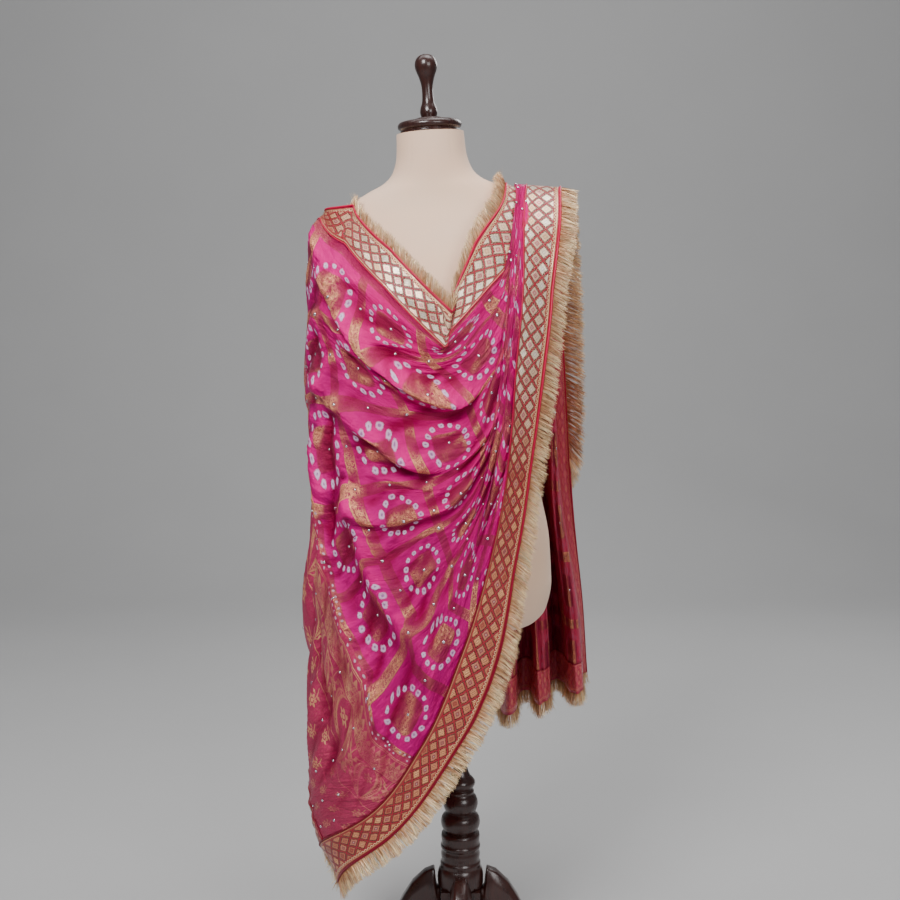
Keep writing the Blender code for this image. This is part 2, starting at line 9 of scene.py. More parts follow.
import bpy
import numpy as np
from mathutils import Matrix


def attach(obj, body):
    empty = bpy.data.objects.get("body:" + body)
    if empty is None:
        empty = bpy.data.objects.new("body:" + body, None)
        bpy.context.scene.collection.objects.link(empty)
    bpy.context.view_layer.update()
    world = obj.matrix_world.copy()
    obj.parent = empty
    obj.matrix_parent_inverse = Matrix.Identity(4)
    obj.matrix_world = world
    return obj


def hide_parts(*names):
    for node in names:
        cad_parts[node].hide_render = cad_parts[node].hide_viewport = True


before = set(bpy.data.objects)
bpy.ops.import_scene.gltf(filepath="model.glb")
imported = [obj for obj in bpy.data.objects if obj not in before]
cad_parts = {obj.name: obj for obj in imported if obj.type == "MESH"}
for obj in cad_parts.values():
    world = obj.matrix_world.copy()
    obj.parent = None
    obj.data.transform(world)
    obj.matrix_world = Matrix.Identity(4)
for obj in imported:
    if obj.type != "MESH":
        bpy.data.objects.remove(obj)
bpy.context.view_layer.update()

# ---- Sizes of the cloth. Length, width and borders are the CAD model's; the sheet is as thin
# as real cloth, and the fringes are the lengths that the photo shows
CLOTH_LENGTH = 2.00
CLOTH_WIDTH = 0.87
BORDER_WIDTH = 0.058
SHEET = 0.0005
FRINGE_LENGTH = 0.027
BACK_FRINGE_LENGTH = 0.038
END_FRINGE_LENGTH = 0.022

# The grid that the cloth is worked out on: distance between rows in front and behind,
# where the front's rows end, and the number of columns
FRONT_ROW = 0.0055
BACK_ROW = 0.0062
FRONT_UNTIL = 1.16
FIELD_COLUMNS = 134
BORDER_COLUMNS = 12

FORM_BASE_HEIGHT = 0.53
FORM_LEAN = math.radians(-3.5)

# The loose shape that the front drape follows, by height:
# centre x, half width, depth in front, depth behind
DRAPE_HULL = (
    ("height", "centre", "half", "front", "back"),
    (0.100, -0.018, 0.160, 0.110, 0.100),
    (0.165, -0.018, 0.184, 0.118, 0.108),
    (0.220, -0.018, 0.204, 0.124, 0.115),
    (0.280, -0.018, 0.211, 0.128, 0.122),
    (0.370, -0.018, 0.213, 0.131, 0.127),
    (0.500, -0.018, 0.212, 0.135, 0.130),
    (0.820, -0.018, 0.208, 0.138, 0.130),
    (0.970, -0.020, 0.205, 0.141, 0.132),
    (1.040, -0.021, 0.200, 0.132, 0.128),
    (1.100, -0.023, 0.194, 0.108, 0.116),
    (1.140, -0.024, 0.183, 0.084, 0.100),
    (1.160, -0.025, 0.163, 0.068, 0.078),
    (1.180, -0.026, 0.130, 0.040, 0.046),
    (1.195, -0.026, 0.095, 0.020, 0.024),
)

# Threads that run along the cloth, one row each, from the neckline edge (v 0) to the
# outer edge. Each cell is (degrees round the form from the front, height) at a station.
STATIONS = (0.00, 0.14, 0.28, 0.42, 0.56, 0.66, 0.76, 0.87, 0.97)
THREADS = (
    ("v", "end", "side", "low", "mid", "crest", "swag", "chest", "vee", "rise"),
    (0.000, (172, .600), (166, .760), (158, .92), (146, 1.05), (117, 1.142),
     (48, 1.156), (23, 1.095), (0, 1.015), (-12, 1.100)),
    (0.058, (162, .565), (157, .735), (148, .90), (132, 1.05), (84, 1.139),
     (46, 1.101), (25, 1.040), (3, .965), (-19.5, 1.050)),
    (0.184, (149, .500), (138, .650), (122, .79), (102, .92), (72, 1.010),
     (47, .985), (24, .955), (-2, .948), (-22.3, 1.036)),
    (0.310, (137, .440), (124, .610), (108, .76), (86, .86), (50, .882),
     (22, .865), (-1, .866), (-17, .930), (-24, 1.036)),
    (0.436, (126, .375), (104, .490), (82, .60), (57, .70), (26, .755),
     (3, .772), (-13.5, .826), (-20, .930), (-25.2, 1.036)),
    (0.562, (115, .310), (86, .405), (60, .51), (34, .615), (9, .690),
     (-7, .735), (-16, .822), (-21.5, .930), (-26.5, 1.036)),
    (0.688, (104, .245), (60, .325), (34, .44), (12, .560), (-4, .655),
     (-13, .735), (-19, .832), (-23, .936), (-27.8, 1.038)),
    (0.812, (90, .185), (36, .275), (11, .39), (-4, .520), (-15, .650),
     (-20.4, .748), (-23.4, .836), (-26, .938), (-30.1, 1.038)),
    (0.870, (69, .150), (24, .250), (-2, .38), (-18, .500), (-26, .635),
     (-31, .735), (-35, .828), (-40, .930), (-46, 1.030)),
)

# Over the right-hand shoulder and down the back. Each row is a station: length along the
# cloth, x of the neckline edge, of the first seam, of the second seam and of the outer
# edge, then y and height at the neckline edge and y and height at the outer edge.
SHOULDER = (
    ("u", "x_neck", "x_seam_1", "x_seam_2", "x_outer", "y_neck", "z_neck", "y_outer", "z_outer"),
    (1.055, 0.056, 0.0735, 0.0870, 0.1390, -0.062, 1.158, -0.066, 1.124),
    (1.120, 0.064, 0.0760, 0.0940, 0.1440, -0.004, 1.190, -0.006, 1.177),
    (1.190, 0.062, 0.0745, 0.1000, 0.1520, 0.062, 1.166, 0.062, 1.148),
    (1.300, 0.058, 0.0705, 0.1370, 0.1590, 0.128, 1.078, 0.122, 1.062),
    (1.450, 0.050, 0.0600, 0.1520, 0.1670, 0.150, 0.928, 0.148, 0.918),
    (1.650, 0.048, 0.0580, 0.1660, 0.1800, 0.158, 0.722, 0.156, 0.716),
    (1.850, 0.050, 0.0600, 0.1930, 0.2060, 0.160, 0.514, 0.158, 0.524),
    (2.000, 0.052, 0.0620, 0.2020, 0.2150, 0.160, 0.352, 0.158, 0.404),
)

# How steep a curve may get against its neighbours, where along the cloth the neckline's
# threads turn straight, and how far before the shoulder their route is read again
STEADY = 1.6
STRAIGHT_FROM = (0.58, 0.66)
SHOULDER_LEAD = 0.06

# The pleats that are stacked on the shoulder: how many layers, how wide a layer is, how far
# apart the layers lie, how far an edge stands up, and the share of the stack that lies below
PLEAT_LAYERS = 13
PLEAT_WIDTH = 0.048
PLEAT_STEP = 0.0007
PLEAT_RIDGE = 0.0030
PLEAT_LOW = 0.25
# Where they start and are full along the cloth, by width
PLEAT_STARTS = (
    ("v", "start", "full"),
    (0.058, 0.955, 1.030),
    (0.184, 0.900, 1.010),
    (0.310, 0.800, 0.980),
    (0.436, 0.700, 0.940),
    (0.562, 0.640, 0.920),
    (0.688, 0.590, 0.900),
    (0.812, 0.560, 0.880),
)
PLEAT_STOP = (1.20, 1.44)

# How they fan out over the chest: height of the ridges and of the finer ones between, where
# they begin along and across the cloth, and how far apart the threads lie where they are full
FAN_RIDGE = 0.0115
FINE_RIDGE = 0.0028
FAN_ALONG = (0.50, 0.78)
FAN_ACROSS = (0.26, 0.40)
FAN_SPREAD = 0.12

# The lap of the strip at the tip of the neckline's V: how far it runs on and rises, and
# where each starts, is full, begins to end and is over
VEE = 0.870
VEE_LAP = 0.012
VEE_RISE = 0.0035
VEE_ACROSS = (0.050, 0.105)
LAP_SPAN = (VEE - 0.034, VEE - 0.002, VEE - 0.002, VEE + 0.024)
RISE_SPAN = (VEE - 0.030, VEE - 0.006, VEE, VEE + 0.012)

# The lobes of the back fall
LOBES = 3
LOBE_DEPTH = 0.052
LOBE_ROUNDNESS = 0.80
LOBE_START = (1.16, 1.50)

# The ripples that hang into the front end's hem
HEM_WAVE = 0.027
HEM_PITCH = 0.105

# Uneven small waves: seed, typical length along and across the cloth, and height
WAVES = {
    "small": (11, 0.40, 0.055, 0.0018),
    "fine": (12, 0.16, 0.024, 0.0008),
    "hanging": (13, 0.60, 0.075, 0.0022),
    "edge": (14, 0.10, 1.0, 0.0009),
    "behind": (15, 0.45, 0.10, 0.0016),
}
WAVE_PARTS = 28

# Single folds, each along a path on the flat cloth: its points (u, v), half width,
# height, and how far its crest leans over to the side of larger v
FOLDS = (
    ("name", "path", "half_width", "height", "lean"),
    ("border_roll", ((0.54, 0.085), (0.70, 0.085), (0.83, 0.080)), 0.016, 0.010, 0.006),
    ("chest_roll", ((0.88, 0.080), (0.94, 0.085), (1.00, 0.085)), 0.016, 0.009, 0.004),
    ("chest_crease", ((0.66, 0.140), (0.74, 0.160), (0.83, 0.145), (0.90, 0.185)),
     0.015, 0.010, 0.008),
    ("upper_swag", ((0.60, 0.090), (0.68, 0.140), (0.73, 0.200), (0.77, 0.262), (0.83, 0.300),
                    (0.93, 0.330)), 0.026, 0.030, 0.030),
    ("upper_inner", ((0.64, 0.190), (0.70, 0.245), (0.78, 0.305)), 0.012, 0.007, 0.005),
    ("middle_swag", ((0.53, 0.290), (0.60, 0.335), (0.66, 0.388), (0.74, 0.398), (0.85, 0.405)),
     0.024, 0.022, 0.020),
    ("middle_under", ((0.58, 0.410), (0.66, 0.440), (0.80, 0.450)), 0.013, 0.008, 0.006),
    ("lower_swag", ((0.45, 0.400), (0.53, 0.470), (0.62, 0.492), (0.76, 0.485)),
     0.022, 0.018, 0.016),
    ("lower_under", ((0.52, 0.530), (0.62, 0.552), (0.76, 0.545)), 0.015, 0.010, 0.007),
    ("thigh_swag", ((0.47, 0.600), (0.57, 0.628), (0.70, 0.628)), 0.018, 0.012, 0.010),
    ("thigh_under", ((0.43, 0.690), (0.52, 0.712), (0.64, 0.705)), 0.016, 0.009, 0.006),
    ("left_turn", ((0.52, 0.400), (0.455, 0.560), (0.42, 0.665), (0.39, 0.760)),
     0.024, 0.025, -0.032),
    ("left_ripple", ((0.56, 0.250), (0.50, 0.360), (0.42, 0.450), (0.34, 0.560)),
     0.016, -0.009, 0.0),
    ("panel_edge", ((0.46, 0.340), (0.395, 0.460), (0.350, 0.600), (0.290, 0.710)),
     0.018, 0.013, -0.020),
    ("arm_ripple", ((0.60, 0.160), (0.56, 0.260), (0.50, 0.330)), 0.014, 0.007, 0.004),
    ("panel_ripple", ((0.36, 0.500), (0.33, 0.600), (0.28, 0.700)), 0.020, 0.008, -0.006),
    ("panel_ripple_2", ((0.28, 0.500), (0.22, 0.610), (0.13, 0.730)), 0.030, -0.010, 0.0),
    ("side_fold", ((0.36, 0.370), (0.28, 0.480), (0.18, 0.640)), 0.028, -0.014, 0.0),
    ("side_fold_2", ((0.42, 0.280), (0.32, 0.400), (0.14, 0.560)), 0.024, -0.013, 0.0),
    ("hip_fold", ((0.40, 0.200), (0.30, 0.260), (0.12, 0.330)), 0.045, 0.022, 0.0),
    ("back_fold", ((0.46, 0.090), (0.28, 0.120), (0.02, 0.150)), 0.045, 0.024, 0.0),
    ("back_fold_2", ((0.26, 0.240), (0.02, 0.265)), 0.040, 0.022, 0.0),
)
# Points on a fold's path, how much of its fade lies past its ends, how full it is between
# them, and how far it reaches past them; and the depth of relief at which painted shade and painted
# highlight are full
FOLD_STEPS = 25
FOLD_END = 0.1
FOLD_FULLNESS = 0.6
FOLD_REACH = 0.03
RELIEF_DEPTH = 0.0022
# Rows and columns over which the cloth is evened, for its directions and for its relief
EVEN_FRAME = 6
EVEN_RELIEF = 5

# The woven pattern: cell sizes, where its long lines start, and how its cross lines drift
# along the cloth by width
CELL_ALONG = 0.115
CELL_ACROSS = 0.120
LINE_ACROSS = 0.185
CROSS_LINES = (
    ("v", "u"),
    (0.125, 0.720),
    (0.245, 0.710),
    (0.365, 0.660),
    (0.485, 0.620),
    (0.605, 0.580),
    (0.665, 0.555),
    (0.725, 0.490),
    (0.812, 0.485),
)
END_LINE = 0.600
LOW_DRIFT = 0.035


def rows_of(table):
    """The rows of a table without its column names."""
    return table[1:]


def spline(knots, values, at):
    """A smooth curve through values at knots, read at every place in at."""
    knots = np.asarray(knots, float)
    values = np.asarray(values, float)
    slopes = np.empty_like(values)
    ahead = (values[1:] - values[:-1]) / np.diff(knots).reshape((-1,) + (1,) * (values.ndim - 1))
    slopes[0] = ahead[0]
    slopes[-1] = ahead[-1]
    middle = (ahead[1:] + ahead[:-1]) / 2
    reach = np.linalg.norm(ahead, axis=-1, keepdims=True)
    most = STEADY * np.minimum(reach[1:], reach[:-1])
    size = np.linalg.norm(middle, axis=-1, keepdims=True)
    slopes[1:-1] = middle * np.minimum(1.0, most / np.maximum(size, 1e-9))
    index = np.clip(np.searchsorted(knots, at, side="right") - 1, 0, len(knots) - 2)
    width = knots[index + 1] - knots[index]
    share = (np.asarray(at, float) - knots[index]) / width
    shape = (-1,) + (1,) * (values.ndim - 1)
    share = share.reshape(shape)
    width = width.reshape(shape)
    return ((2 * share**3 - 3 * share**2 + 1) * values[index]
            + (share**3 - 2 * share**2 + share) * width * slopes[index]
            + (3 * share**2 - 2 * share**3) * values[index + 1]
            + (share**3 - share**2) * width * slopes[index + 1])


def smooth_step(low, high, value):
    """0 below low, 1 above high, smooth between."""
    share = np.clip((value - low) / (high - low), 0.0, 1.0)
    return share * share * (3 - 2 * share)


def plateau(start, full, ends, over, value):
    """0 before start and after over, 1 from full to ends, smooth between."""
    return smooth_step(start, full, value) * (1 - smooth_step(ends, over, value))


def unit(vectors):
    """Vectors of length 1."""
    return vectors / np.maximum(np.linalg.norm(vectors, axis=-1, keepdims=True), 1e-9)


def distances(line):
    """How far along a row of points each of them lies."""
    return np.concatenate([[0], np.cumsum(np.linalg.norm(np.diff(line, axis=0), axis=1))])


def on_hull(angle, height):
    """The place on the loose hull at an angle from the front and a height."""
    table = np.array(rows_of(DRAPE_HULL))
    centre, half, front, back = (spline(table[:, 0], table[:, k:k + 1], height.ravel())[:, 0]
                                 .reshape(height.shape) for k in range(1, 5))
    turn = np.radians(angle)
    depth = np.where(np.cos(turn) > 0, front, back)
    return np.stack([centre - half * np.sin(turn), -depth * np.cos(turn), height], axis=-1)


def chest_places(lengths, cells, edge):
    """Where the threads lie in front: smooth curves, but straight along the neckline's V."""
    curved = spline(STATIONS, cells, lengths)
    straight = np.empty_like(curved)
    for k in range(cells.shape[1]):
        for axis in range(2):
            straight[:, k, axis] = np.interp(lengths, STATIONS, cells[:, k, axis])
    share = smooth_step(*STRAIGHT_FROM, lengths)[:, None, None] * edge[:, None]
    flat = curved * (1 - share) + straight * share
    return on_hull(flat[..., 0], flat[..., 1])


def shoulder_places(width):
    """Where the threads lie at each row of the shoulder table."""
    share = width / CLOTH_WIDTH
    seams = (0, BORDER_WIDTH, CLOTH_WIDTH - BORDER_WIDTH, CLOTH_WIDTH)
    places = []
    for _, *x_at_seams, y_neck, z_neck, y_outer, z_outer in rows_of(SHOULDER):
        x = np.interp(width, seams, x_at_seams)
        y = y_neck + (y_outer - y_neck) * share
        z = z_neck + (z_outer - z_neck) * share
        places.append(np.stack([x, y, z], -1))
    return np.array(places)


def thread_places(lengths):
    """Where each thread lies at each of these lengths, before any fold."""
    threads = rows_of(THREADS)
    width = np.array([row[0] for row in threads])
    edge = (width <= BORDER_WIDTH).astype(float)
    cells = np.array([row[1:] for row in threads], float).transpose(1, 0, 2)
    chest_end = STATIONS[-1]
    in_front = chest_places(np.minimum(lengths, chest_end), cells, edge)
    before = np.array([chest_end - SHOULDER_LEAD, chest_end])
    knots = list(before) + [row[0] for row in rows_of(SHOULDER)]
    route = np.concatenate([chest_places(before, cells, edge), shoulder_places(width)])
    behind = spline(knots, route, np.maximum(lengths, chest_end))
    past = (lengths > chest_end).reshape(-1, 1, 1)
    return np.where(past, behind, in_front)


def frame_on(places):
    """Directions on a grid of places: along the cloth, across it and out of its face."""
    along = unit(np.gradient(places, axis=0))
    across = unit(np.gradient(places, axis=1))
    return along, across, unit(np.cross(across, along))


def fold_offset(lengths, widths, path):
    """For each place on the flat cloth, its signed distance from a path and its fade."""
    steps = np.linspace(0.0, 1.0, FOLD_STEPS)
    points = np.array(path)
    route = spline(np.linspace(0.0, 1.0, len(points)), points, steps)
    u, v = np.meshgrid(lengths, widths, indexing="ij")
    gap_u = u[..., None] - route[:, 0]
    gap_v = v[..., None] - route[:, 1]
    nearest = np.argmin(gap_u**2 + gap_v**2, axis=-1)
    heading = unit(np.gradient(route, axis=0))[nearest]
    pick_u = np.take_along_axis(gap_u, nearest[..., None], -1)[..., 0]
    pick_v = np.take_along_axis(gap_v, nearest[..., None], -1)[..., 0]
    side = heading[..., 0] * pick_v - heading[..., 1] * pick_u
    beyond = heading[..., 0] * pick_u + heading[..., 1] * pick_v
    share = FOLD_END + (1 - 2 * FOLD_END) * steps[nearest]
    fade = np.sin(np.pi * share) ** FOLD_FULLNESS
    return side, fade * np.exp(-(beyond / FOLD_REACH) ** 2)


def ripple(u, v, name):
    """Uneven small waves of one of the kinds in WAVES."""
    seed, along, across, height = WAVES[name]
    chance = np.random.default_rng(seed)
    total = np.zeros_like(u)
    for _ in range(WAVE_PARTS):
        pitch_u = along * chance.uniform(0.7, 1.8) * chance.choice((-1, 1))
        pitch_v = across * chance.uniform(0.7, 1.6)
        start = chance.uniform(0, 2 * math.pi)
        total += np.sin(2 * math.pi * (u / pitch_u + v / pitch_v) + start)
    return total / math.sqrt(WAVE_PARTS / 2) * height


def evened(field, reach):
    """A grid of places, each averaged with its neighbours along and across the cloth."""
    for axis in (0, 1):
        steps = np.arange(-reach, reach + 1)
        weights = np.exp(-(steps / (reach / 2)) ** 2)
        weights /= weights.sum()
        pad = [(0, 0)] * field.ndim
        pad[axis] = (reach, reach)
        wide = np.pad(field, pad, mode="edge")
        size = field.shape[axis]
        field = sum(w * np.take(wide, range(k, k + size), axis=axis) for k, w in enumerate(weights))
    return field


def along_section(places, widths, distance):
    """Shifts of these distances along the outer border's curved section at each row."""
    seam = np.searchsorted(widths, CLOTH_WIDTH - BORDER_WIDTH)
    section = places[:, seam:] - places[:, seam:seam + 1]
    reach = np.linalg.norm(section[:, -1], axis=-1)[:, None]
    count = section.shape[1] - 1
    at = np.clip(distance / reach, 0.0, 0.999) * count
    low = at.astype(int)
    part = (at - low)[..., None]
    rows = np.arange(len(places))[:, None]
    return section[rows, low] * (1 - part) + section[rows, low + 1] * part


def fold_shift(lengths, widths, across, out, spread):
    """The shift of the folds that each have a path of their own."""
    shift = np.zeros_like(out)
    for _, path, half_width, height, lean in rows_of(FOLDS):
        side, fade = fold_offset(lengths, widths, path)
        bump = np.exp(-(side / half_width) ** 2) * fade * np.minimum(spread, 1.0)
        shift += out * (bump * height)[..., None] + across * (bump**2 * lean)[..., None]
    return shift


def pleat_shift(u, v, widths, places, out, spread):
    """The shift of the stacked pleats and their fan, and how far the stack has formed."""
    starts = np.array(rows_of(PLEAT_STARTS))
    start, full = (np.interp(v, starts[:, 0], starts[:, k]) for k in (1, 2))
    swell = smooth_step(start, full, u) * (1 - smooth_step(*PLEAT_STOP, u))
    share = np.clip((v - BORDER_WIDTH) / (CLOTH_WIDTH - 2 * BORDER_WIDTH), 0.0, 1.0)
    turn = math.pi * PLEAT_LAYERS * share
    crest = 0.5 - 0.5 * np.cos(turn)
    in_border = np.clip(v / BORDER_WIDTH, 0.0, 1.0)
    outer = np.clip((CLOTH_WIDTH - v) / BORDER_WIDTH, 0.0, 1.0)
    zigzag = (0.5 + 0.5 * np.cos(turn)) * in_border

    # each layer is shifted along the border's own section and laid against it
    shift = along_section(places, widths, PLEAT_WIDTH * swell * zigzag)
    seam = np.searchsorted(widths, CLOTH_WIDTH - BORDER_WIDTH)
    upward = unit(out[:, seam:].mean(axis=1, keepdims=True))
    sink = np.sum((places[:, seam:seam + 1] - places) * upward, axis=-1) * zigzag * swell
    shift += upward * sink[..., None]

    # then stacked and ridged, with the ridges running on into the fan
    raised = unit(out * (1 - swell[..., None]) + upward * swell[..., None])
    stack = PLEAT_STEP * PLEAT_LAYERS * (share - PLEAT_LOW) * in_border
    fan = smooth_step(*FAN_ALONG, u) * (1 - swell) * np.minimum(1.0, spread / FAN_SPREAD)
    fan = fan * smooth_step(*FAN_ACROSS, v) * outer
    fan_ridge = FAN_RIDGE * crest + FINE_RIDGE * np.cos(3 * turn + 2 * np.sin(8 * u))
    height = stack * swell + PLEAT_RIDGE * crest * swell * outer + fan_ridge * fan
    return shift + raised * height[..., None], swell


def wave_height(u, v, loose, lobe):
    """Uneven small waves along the folds, and the ripples of the front end's hem."""
    in_field = plateau(0.058, 0.10, 0.77, 0.812, v)
    drifted = v + 0.35 * (u - 0.5)
    hanging = ripple(u + 0.8 * v, v, "hanging") * (1 - smooth_step(0.30, 0.55, u))
    field = ripple(u, drifted, "small") + ripple(u, drifted, "fine") + hanging
    waves = field * (0.25 + 0.75 * in_field) + ripple(u, 0 * v, "edge") * (1 - in_field)
    hem = (1 - smooth_step(0.02, 0.34, u)) * plateau(0.0, 0.10, 0.44, 0.58, v)
    waves += HEM_WAVE * hem * np.cos(2 * math.pi * v / HEM_PITCH + 1.4 * np.sin(7 * v))
    front = 1 - smooth_step(1.05, 1.25, u)
    return waves * loose * front + ripple(u, v, "behind") * lobe


def folded(lengths, widths):
    """The cloth's middle surface on a grid of lengths and widths."""
    threads = rows_of(THREADS)
    guides = thread_places(lengths).transpose(1, 0, 2)
    places = spline([row[0] for row in threads], guides, widths).transpose(1, 0, 2)
    along, across, out = frame_on(evened(places, EVEN_FRAME))
    u, v = np.meshgrid(lengths, widths, indexing="ij")
    spread = np.linalg.norm(np.gradient(places, axis=1), axis=-1) / np.gradient(widths)
    shift = fold_shift(lengths, widths, across, out, spread)
    pleats, swell = pleat_shift(u, v, widths, places, out, spread)
    shift += pleats

    # the left arm of the neckline's V laps over the right arm
    near_edge = 1 - smooth_step(*VEE_ACROSS, v)
    heading = along[np.searchsorted(lengths, VEE - 0.020)][None]
    shift += heading * (VEE_LAP * plateau(*LAP_SPAN, u) * near_edge)[..., None]
    shift += out * (VEE_RISE * plateau(*RISE_SPAN, u) * near_edge)[..., None]

    # lobes of the back fall, a little uneven
    lobe = smooth_step(*LOBE_START, u)
    turn = 2 * math.pi * LOBES * v / CLOTH_WIDTH + 0.35 * np.sin(9 * u)
    depth = LOBE_DEPTH * (1 + 0.10 * np.sin(2 * math.pi * v / 0.29 + 4 * u))
    bulge = LOBE_ROUNDNESS * (spread * CLOTH_WIDTH / LOBES) / (4 * math.pi)
    shift += out * (depth * lobe * np.cos(turn))[..., None]
    shift += across * (bulge * lobe * np.sin(2 * turn))[..., None]

    loose = np.minimum(spread, 1.0) * (1 - swell)
    return places + shift + out * wave_height(u, v, loose, lobe)[..., None]


def row_lengths():
    """Lengths of the rows, with one on each end border's seam."""
    lengths = [0.0]
    bands = ((BORDER_WIDTH, FRONT_ROW), (FRONT_UNTIL, FRONT_ROW),
             (CLOTH_LENGTH - BORDER_WIDTH, BACK_ROW), (CLOTH_LENGTH, BACK_ROW))
    seams = []
    for until, step in bands:
        count = max(1, round((until - lengths[-1]) / step))
        lengths += list(np.linspace(lengths[-1], until, count + 1)[1:])
        seams.append(len(lengths) - 1)
    return np.array(lengths), seams[0], seams[2]


def pattern_place(u, v):
    """The place in the woven pattern: distance from a cross line and from a long line."""
    lines = np.array(rows_of(CROSS_LINES))
    drifted = np.interp(v, lines[:, 0], lines[:, 1])
    share = smooth_step(0.0, 0.28, u)
    line = END_LINE * (1 - share) + drifted * share
    behind = smooth_step(1.0, 1.5, u)
    line = line * (1 - behind) + END_LINE * behind
    low = smooth_step(0.55, 0.78, v) * plateau(0.10, 0.20, 0.44, 0.56, u)
    return u - line, v - LINE_ACROSS - LOW_DRIFT * low


# ---- Making meshes

TUBE_SIDES = 8
# A fringe's strands: half their width, its share from root to tip, how far they sag, how
# far apart their layers start, and the pitch of their clumps and of their uneven ends
STRAND_HALF_WIDTH = (0.00022, 0.00042)
STRAND_TAPER = np.array([1.0, 1.0, 0.95, 0.8, 0.45])
STRAND_SAG = 0.10
LAYER_GAP = 0.0005
CLUMP_PITCH = 0.0085
LENGTH_PITCH = 0.031


def new_object(name, points, faces, slots=None, materials=(), smooth=True):
    """A mesh object with material slots and smooth faces."""
    mesh = bpy.data.meshes.new(name)
    mesh.from_pydata(np.asarray(points, float).reshape(-1, 3).tolist(), [], faces)
    for made in materials:
        mesh.materials.append(made)
    if slots is not None:
        mesh.polygons.foreach_set("material_index", np.asarray(slots, np.int32))
    if smooth:
        mesh.shade_smooth()
    mesh.update()
    made = bpy.data.objects.new(name, mesh)
    bpy.context.scene.collection.objects.link(made)
    return made


def add_uv(obj, name, per_vertex):
    """A UV map from one place per vertex."""
    layer = obj.data.uv_layers.new(name=name)
    corners = np.empty(len(obj.data.loops), np.int32)
    obj.data.loops.foreach_get("vertex_index", corners)
    layer.uv.foreach_set("vector", np.asarray(per_vertex, np.float32)[corners].ravel())


def both_sides(a, b):
    """The same two coordinates for a sheet's face and its reverse."""
    return np.tile(np.stack([a.ravel(), b.ravel()], 1), (2, 1))


def sheet_mesh(name, grid, part, materials):
    """A thin closed sheet over part of the grid: face in slot 0, reverse in slot 1."""
    places, out = grid["places"][part], grid["out"][part]
    points = np.concatenate([(places + out * side).reshape(-1, 3)
                             for side in (SHEET / 2, -SHEET / 2)])
    count = len(points) // 2
    index = np.arange(count).reshape(places.shape[:2])
    a, b = index[:-1, :-1].ravel(), index[:-1, 1:].ravel()
    c, d = index[1:, 1:].ravel(), index[1:, :-1].ravel()
    face = np.concatenate([np.stack([a, b, c], 1), np.stack([a, c, d], 1)])
    back = face[:, ::-1] + count
    rim = np.concatenate([index[0, :], index[1:, -1], index[-1, -2::-1], index[-2:0:-1, 0]])
    after = np.roll(rim, -1)
    side = np.stack([after, rim, rim + count, after + count], 1)
    slots = np.repeat((0, 1), (len(face), len(back) + len(side)))
    made = new_object(name, points, face.tolist() + back.tolist() + side.tolist(), slots, materials)

    relief = grid["relief"][part].ravel()
    add_uv(made, "relief", np.stack([np.concatenate([relief, -relief]), np.zeros(2 * count)], 1))
    add_uv(made, "pattern", both_sides(grid["pattern"][0][part], grid["pattern"][1][part]))
    u, v = grid["u"][part], grid["v"][part]
    add_uv(made, "strip", both_sides(u, v))
    # for baking, the face fills the left half of the picture and the reverse the right half
    across = (v.ravel() - v.min()) / (v.max() - v.min())
    length = (u.ravel() - u.min()) / (u.max() - u.min())
    halves = [np.stack([low + 0.485 * across, 0.005 + 0.99 * length], 1) for low in (0.005, 0.510)]
    add_uv(made, "OFBake", np.concatenate(halves))
    return made


def tube_mesh(name, centres, directions, radius, material):
    """A tube along a row of points."""
    first = unit(directions)
    second = unit(np.cross(unit(np.gradient(centres, axis=0)), first))
    turns = 2 * math.pi * np.arange(TUBE_SIDES) / TUBE_SIDES
    ring = (first[:, None] * np.cos(turns)[None, :, None]
            + second[:, None] * np.sin(turns)[None, :, None])
    index = np.arange(len(centres) * TUBE_SIDES).reshape(-1, TUBE_SIDES)
    nxt = np.roll(index, -1, 1)
    faces = np.stack([index[:-1].ravel(), nxt[:-1].ravel(), nxt[1:].ravel(), index[1:].ravel()], 1)
    ends = [index[0].tolist()[::-1], index[-1].tolist()]
    return new_object(name, centres[:, None] + ring * radius, faces.tolist() + ends,
                      materials=(material,))


